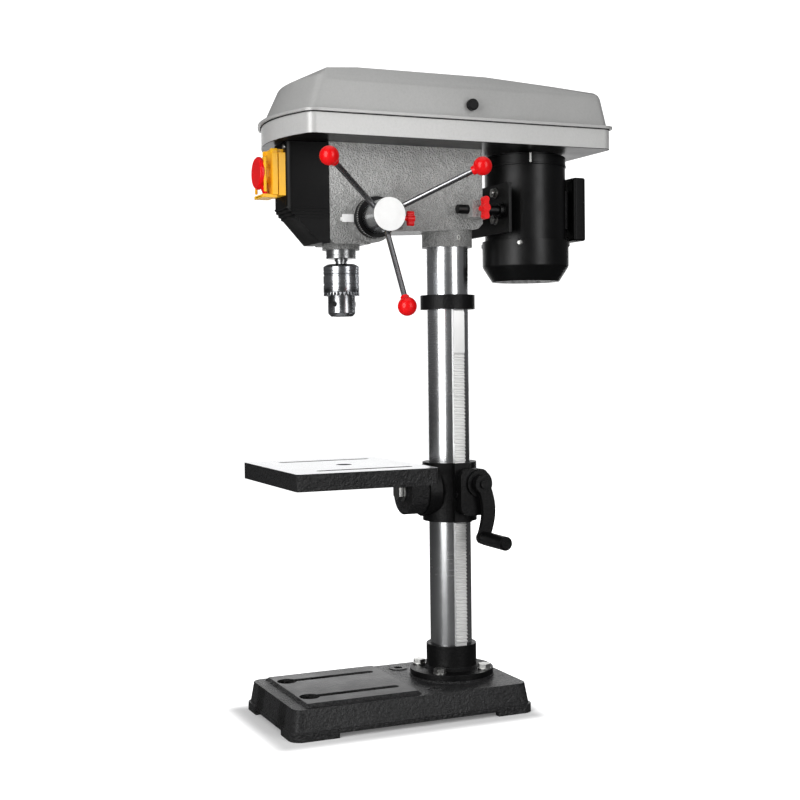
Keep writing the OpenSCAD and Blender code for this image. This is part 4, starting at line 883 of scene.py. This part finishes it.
def chuck_sleeve():
    """Turned sleeve with its grooves and the ring of key teeth"""
    low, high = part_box("chuck_sleeve")
    centre = middle("chuck_sleeve")
    wide = (high.x - low.x) / 2
    bore = wide - SLEEVE_WALL
    root = low.z + TOOTH_HEIGHT
    grooves = []
    for share in (0.93, 0.52):
        level = low.z + share * (high.z - low.z)
        grooves += [(wide, level + 0.0011), (wide - 0.0009, level + 0.0006), (wide - 0.0009, level - 0.0006),
                    (wide, level - 0.0011)]
    profile = [(bore, high.z), (wide - 0.0007, high.z), (wide, high.z - 0.0006), *grooves,
               (wide, root + 0.001), (wide - 0.0004, root), (bore, root), (bore, high.z)]
    sleeve = turned(profile, Matrix.Translation((centre.x, centre.y, 0.0)), 128, 30.0)
    tall = TOOTH_HEIGHT + 0.001
    wedge = block((0.0034, SLEEVE_WALL, tall), (0.0, 0.0, tall / 2), 0.0004)
    for vertex in wedge.vertices:
        if vertex.co.z < TOOTH_HEIGHT / 2:
            vertex.co.y *= 0.5
    place = Matrix.Translation((centre.x, centre.y, low.z))
    teeth = ring_of(wedge, sizes().sleeve_teeth, wide - 0.0019, chrome(), place)
    new_piece("chuck_sleeve_finish", joined([sleeve, teeth]), chrome(), body_of("chuck_sleeve"),
              ["chuck_sleeve"])


def chuck_parts():
    dress("quill_bearings", turned_z())
    eased("quill", turned_z())
    eased("spindle", turned_z())
    chuck_body()
    key_hole_shade()
    chuck_sleeve()
    for node in ("chuck_jaw_1", "chuck_jaw_2", "chuck_jaw_3"):
        dress(node, turned_z())


def feed_parts():
    dress("feed_bush", turned_x())
    dress("pinion_shaft", turned_x())
    dress("return_spring", zinc())
    eased("spring_cap", satin_black())
    eased("feed_hub", turned_x())
    eased("hub_cap", white_plastic())
    eased("feed_rods", rod_steel())
    eased("feed_knobs", red_plastic(), 1)
    eased("depth_scale_ring", black_plastic())
    eased("depth_lock_knob", red_plastic(), 3)
    eased("depth_pointer", white_plastic())
    ring_marks()


def ring_marks():
    """Pale marks round the depth ring"""
    centre = middle("depth_scale_ring")
    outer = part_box("depth_scale_ring")[1].x
    mark = block((0.0003, 0.0004, 0.0045))
    place = along((1, 0, 0), (outer - 0.0035, centre.y, middle("feed_hub").z))
    marks = ring_of(mark, sizes().ring_marks, DEPTH_MARK_RADIUS, white_plastic(), place)
    new_piece("depth_ring_marks", marks, white_plastic(), body_of("depth_scale_ring"))


def drive_parts():
    for node in ("spindle_pulley", "idler_pulley", "motor_pulley"):
        eased(node, alloy())
    for node in ("pulley_bearings", "idler_post"):
        dress(node, turned_z())
    dress("drive_belts", rubber())


def motor_axis():
    """Place of the motor's upright axis"""
    return Matrix.Translation((0.0, middle("motor_fan_cover").y, 0.0))


def motor_bell():
    """Ring of the motor's end bell"""
    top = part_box("motor_body")[1].z
    inner = MOTOR_RADIUS - 0.002
    ring = [(inner, top - 0.019), (MOTOR_RADIUS + 0.0009, top - 0.019), (MOTOR_RADIUS + 0.0014, top - 0.0182),
            (MOTOR_RADIUS + 0.0014, top - 0.0162), (MOTOR_RADIUS + 0.0006, top - 0.0155),
            (MOTOR_RADIUS + 0.0006, top - 0.003), (inner, top - 0.002), (inner, top - 0.019)]
    new_piece("motor_bell", turned(ring, motor_axis(), 128), satin_black(), body_of("motor_body"))


def bell_clamp_bolt():
    """Bright bolt that shows in the gap of the end bell"""
    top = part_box("motor_body")[1].z
    shank = [(0.0, top - 0.002), (0.0022, top - 0.002), (0.0022, top - 0.0165), (0.0, top - 0.0165)]
    place = motor_axis() @ Matrix.Translation((*CLAMP_BOLT_OFFSET, 0.0))
    new_piece("bell_clamp_bolt", turned(shank, place, 24), zinc(), body_of("motor_body"))


def fan_cover_screws():
    """Four slotted screws round the fan cover"""
    dome = [(0.0, 0.0022), (0.0032, 0.0018), (0.0045, 0.0005), (0.0045, -0.0008), (0.0, -0.0008)]
    head = turned(dome, Matrix.Identity(4), 24)
    screw = joined([head, block((0.006, 0.0009, 0.0004), (0.0, 0.0, 0.0022))])
    screw.transform(turn_about("Y", 90.0))
    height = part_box("motor_fan_cover")[1].z - 0.006
    place = motor_axis() @ Matrix.Translation((0.0, 0.0, height)) @ turn_about("Z", FAN_SCREW_TURN)
    screws = ring_of(screw, 4, FAN_SCREW_REACH, zinc(), place)
    new_piece("fan_cover_screws", screws, zinc(), body_of("motor_fan_cover"))


def motor_parts():
    eased("motor_body", satin_black(), 3)
    eased("motor_fan_cover", satin_black(), 3)
    eased("motor_plate", satin_black())
    eased("motor_bolts", zinc())
    eased("slide_bars", satin_black())
    eased("capacitor_box", black_plastic(), 3)
    eased("slide_lock_knob", red_plastic(), 3)
    dress("motor_rotor", satin_black())
    motor_bell()
    bell_clamp_bolt()
    fan_cover_screws()


def switch_trim():
    """Hooks, side ridges and catch of the switch's flap"""
    low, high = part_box("switch_flap")
    parts = []
    for side in (-1, 1):
        hook = block((0.007, 0.011, 0.008), (side * 0.017, high.y - 0.004, high.z - 0.0045), 0.0016)
        height = (low.z + high.z) / 2 - 0.003
        ridge = block((0.0035, 0.004, 0.050), (side * 0.0215, low.y + 0.0035, height), 0.001)
        parts += [hook, ridge]
    parts.append(block((0.026, 0.009, 0.0035), (0.0, low.y + 0.0045, low.z + 0.0022), 0.0012))
    new_piece("switch_trim", joined(parts), yellow_plastic(), body_of("switch_flap"))


def mushroom_tail():
    """Red tail that hangs from the stop mushroom on the flap"""
    tail = block((0.008, 0.006, 0.024), edge=0.002)
    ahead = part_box("switch_housing")[0].y - 0.0135
    below = middle("stop_mushroom").z - 0.021
    tail.transform(Matrix.Translation((0.010, ahead, below)) @ turn_about("X", TAIL_TILT))
    new_piece("mushroom_tail", tail, red_plastic(), body_of("switch_flap"))


def switch_parts():
    eased("switch_housing", yellow_plastic())
    eased("switch_flap", yellow_plastic(), 3)
    eased("stop_mushroom", red_plastic(), 3)
    eased("start_button", green_plastic())
    eased("cable_gland", black_plastic())
    switch_trim()
    mushroom_tail()


def fasteners():
    eased("flange_bolts", zinc())
    eased("small_screws", zinc())


# ---------- Stage ----------

CAMERA_PLACE = (1.9078, -0.8556, 0.5519)
CAMERA_TURN = 66.414
CAMERA_DOWN = 1.944
CAMERA_ROLL = -0.705
CAMERA_LENS = 61.02
CAMERA_SHIFT = -0.0037

# Name, turn round the column in degrees, distance, height, width, tall and glow of each soft light
SOFTBOXES = [
    ("Left Strip", -60.0, 2.1, 1.05, 1.2, 2.1, 5.0),
    ("Right Strip", 17.0, 2.1, 1.05, 0.75, 2.1, 3.6),
    ("Backdrop", 154.0, 2.6, 0.75, 3.0, 1.4, 1.4),
    ("Top", 0.0, 0.01, 3.0, 2.4, 2.4, 0.7),
]


def camera():
    """Camera at the right front, turned, tilted and rolled into place"""
    data = bpy.data.cameras.new("Camera")
    data.sensor_width = 36.0
    data.lens = CAMERA_LENS
    data.shift_y = CAMERA_SHIFT
    turn, down, roll = (math.radians(v) for v in (CAMERA_TURN, CAMERA_DOWN, CAMERA_ROLL))
    ahead = Vector((-math.sin(turn) * math.cos(down), math.cos(turn) * math.cos(down), -math.sin(down)))
    right = ahead.cross(Vector((0, 0, 1))).normalized()
    up = right.cross(ahead)
    across = right * math.cos(roll) + up * math.sin(roll)
    upright = up * math.cos(roll) - right * math.sin(roll)
    piece = bpy.data.objects.new("Camera", data)
    facing = Matrix((across, upright, -ahead)).transposed().to_4x4()
    piece.matrix_world = Matrix.Translation(CAMERA_PLACE) @ facing
    bpy.context.scene.collection.objects.link(piece)
    bpy.context.scene.camera = piece


def floor():
    """Wide flat white floor"""
    form = bmesh.new()
    bmesh.ops.create_circle(form, cap_ends=True, segments=96, radius=16.0)
    mesh = mesh_of(form)
    mesh.materials.append(stage_paint())
    piece = bpy.data.objects.new("Floor", mesh)
    bpy.context.scene.collection.objects.link(piece)


def softbox(name, turn, distance, height, width, tall, glow):
    """Soft rectangular light at an angle round the column, facing it; glow is how bright its face is"""
    centre = Vector((0.0, 0.0, 0.5))
    place = Vector((distance * math.cos(math.radians(turn)), distance * math.sin(math.radians(turn)), height))
    data = bpy.data.lights.new(name, "AREA")
    data.shape = "RECTANGLE"
    data.size = width
    data.size_y = tall
    data.energy = glow * math.pi * width * tall
    lamp = bpy.data.objects.new(name, data)
    lamp.location = place
    lamp.rotation_mode = "QUATERNION"
    lamp.rotation_quaternion = (centre - place).to_track_quat("-Z", "Y")
    lamp.visible_camera = False
    bpy.context.scene.collection.objects.link(lamp)


def lights():
    """Dim world that looks white to the camera, and the soft lights"""
    world = bpy.data.worlds.new("Studio")
    world.use_nodes = True
    tree = Tree(world.node_tree)
    seen = tree.add("ShaderNodeLightPath").outputs["Is Camera Ray"]
    shade = tree.blend(seen, (0.11, 0.11, 0.113, 1.0), (1.3, 1.3, 1.3, 1.0))
    feed(tree, world.node_tree.nodes["Background"].inputs["Color"], shade)
    bpy.context.scene.world = world
    for row in SOFTBOXES:
        softbox(*row)


# ---------- Operators ----------


def operator(idname, label, doc, action):
    """Operator class that runs one making function"""

    def execute(self, context):
        action()
        return {"FINISHED"}

    return type("DRILLPRESS_OT_" + idname, (bpy.types.Operator,),
                {"bl_idname": "drill_press." + idname, "bl_label": label, "__doc__": doc, "execute": execute})


def studio():
    camera()
    floor()
    lights()
    bpy.context.scene.view_settings.view_transform = "Standard"


OPERATORS = [
    operator("studio", "Studio", "Add the camera, the floor and the soft lights", studio),
    operator("castings", "Castings", "Finish the base, flange, bracket, collar, head and table", castings),
    operator("covers", "Belt Cover", "Make the belt cover, its lid and the head's front cover", covers),
    operator("column", "Column", "Finish the column and its rack", column_parts),
    operator("lift", "Table Lift", "Finish the crank, worm, gear and bolts of the table lift", lift_parts),
    operator("chuck", "Chuck", "Finish the quill, the spindle and the chuck", chuck_parts),
    operator("feed", "Feed", "Finish the feed handle, the depth ring and the return spring", feed_parts),
    operator("drive", "Belt Drive", "Finish the pulleys and belts", drive_parts),
    operator("motor", "Motor", "Finish the motor, its plate and slides", motor_parts),
    operator("switch", "Switch", "Finish the switch, its flap and buttons", switch_parts),
    operator("fasteners", "Fasteners", "Finish the bolts and screws", fasteners),
]


class DRILLPRESS_PT_panel(bpy.types.Panel):
    """Lists the steps that build the drill press"""

    bl_label = "Drill Press"
    bl_space_type = "VIEW_3D"
    bl_region_type = "UI"
    bl_category = "Drill Press"

    def draw(self, context):
        for kind in OPERATORS:
            self.layout.operator(kind.bl_idname)
        for group in (context.scene.drill_press_sizes, context.scene.drill_press_colours):
            for name in group.__annotations__:
                self.layout.prop(group, name)


CLASSES = [DrillPressSizes, DrillPressColours, *OPERATORS, DRILLPRESS_PT_panel]


def register():
    for kind in CLASSES:
        bpy.utils.register_class(kind)
    bpy.types.Scene.drill_press_sizes = bpy.props.PointerProperty(type=DrillPressSizes)
    bpy.types.Scene.drill_press_colours = bpy.props.PointerProperty(type=DrillPressColours)


def unregister():
    del bpy.types.Scene.drill_press_colours
    del bpy.types.Scene.drill_press_sizes
    for kind in reversed(CLASSES):
        bpy.utils.unregister_class(kind)


def main():
    register()
    for kind in OPERATORS:
        group, name = kind.bl_idname.split(".")
        getattr(getattr(bpy.ops, group), name)()


if __name__ == "__main__":
    main()
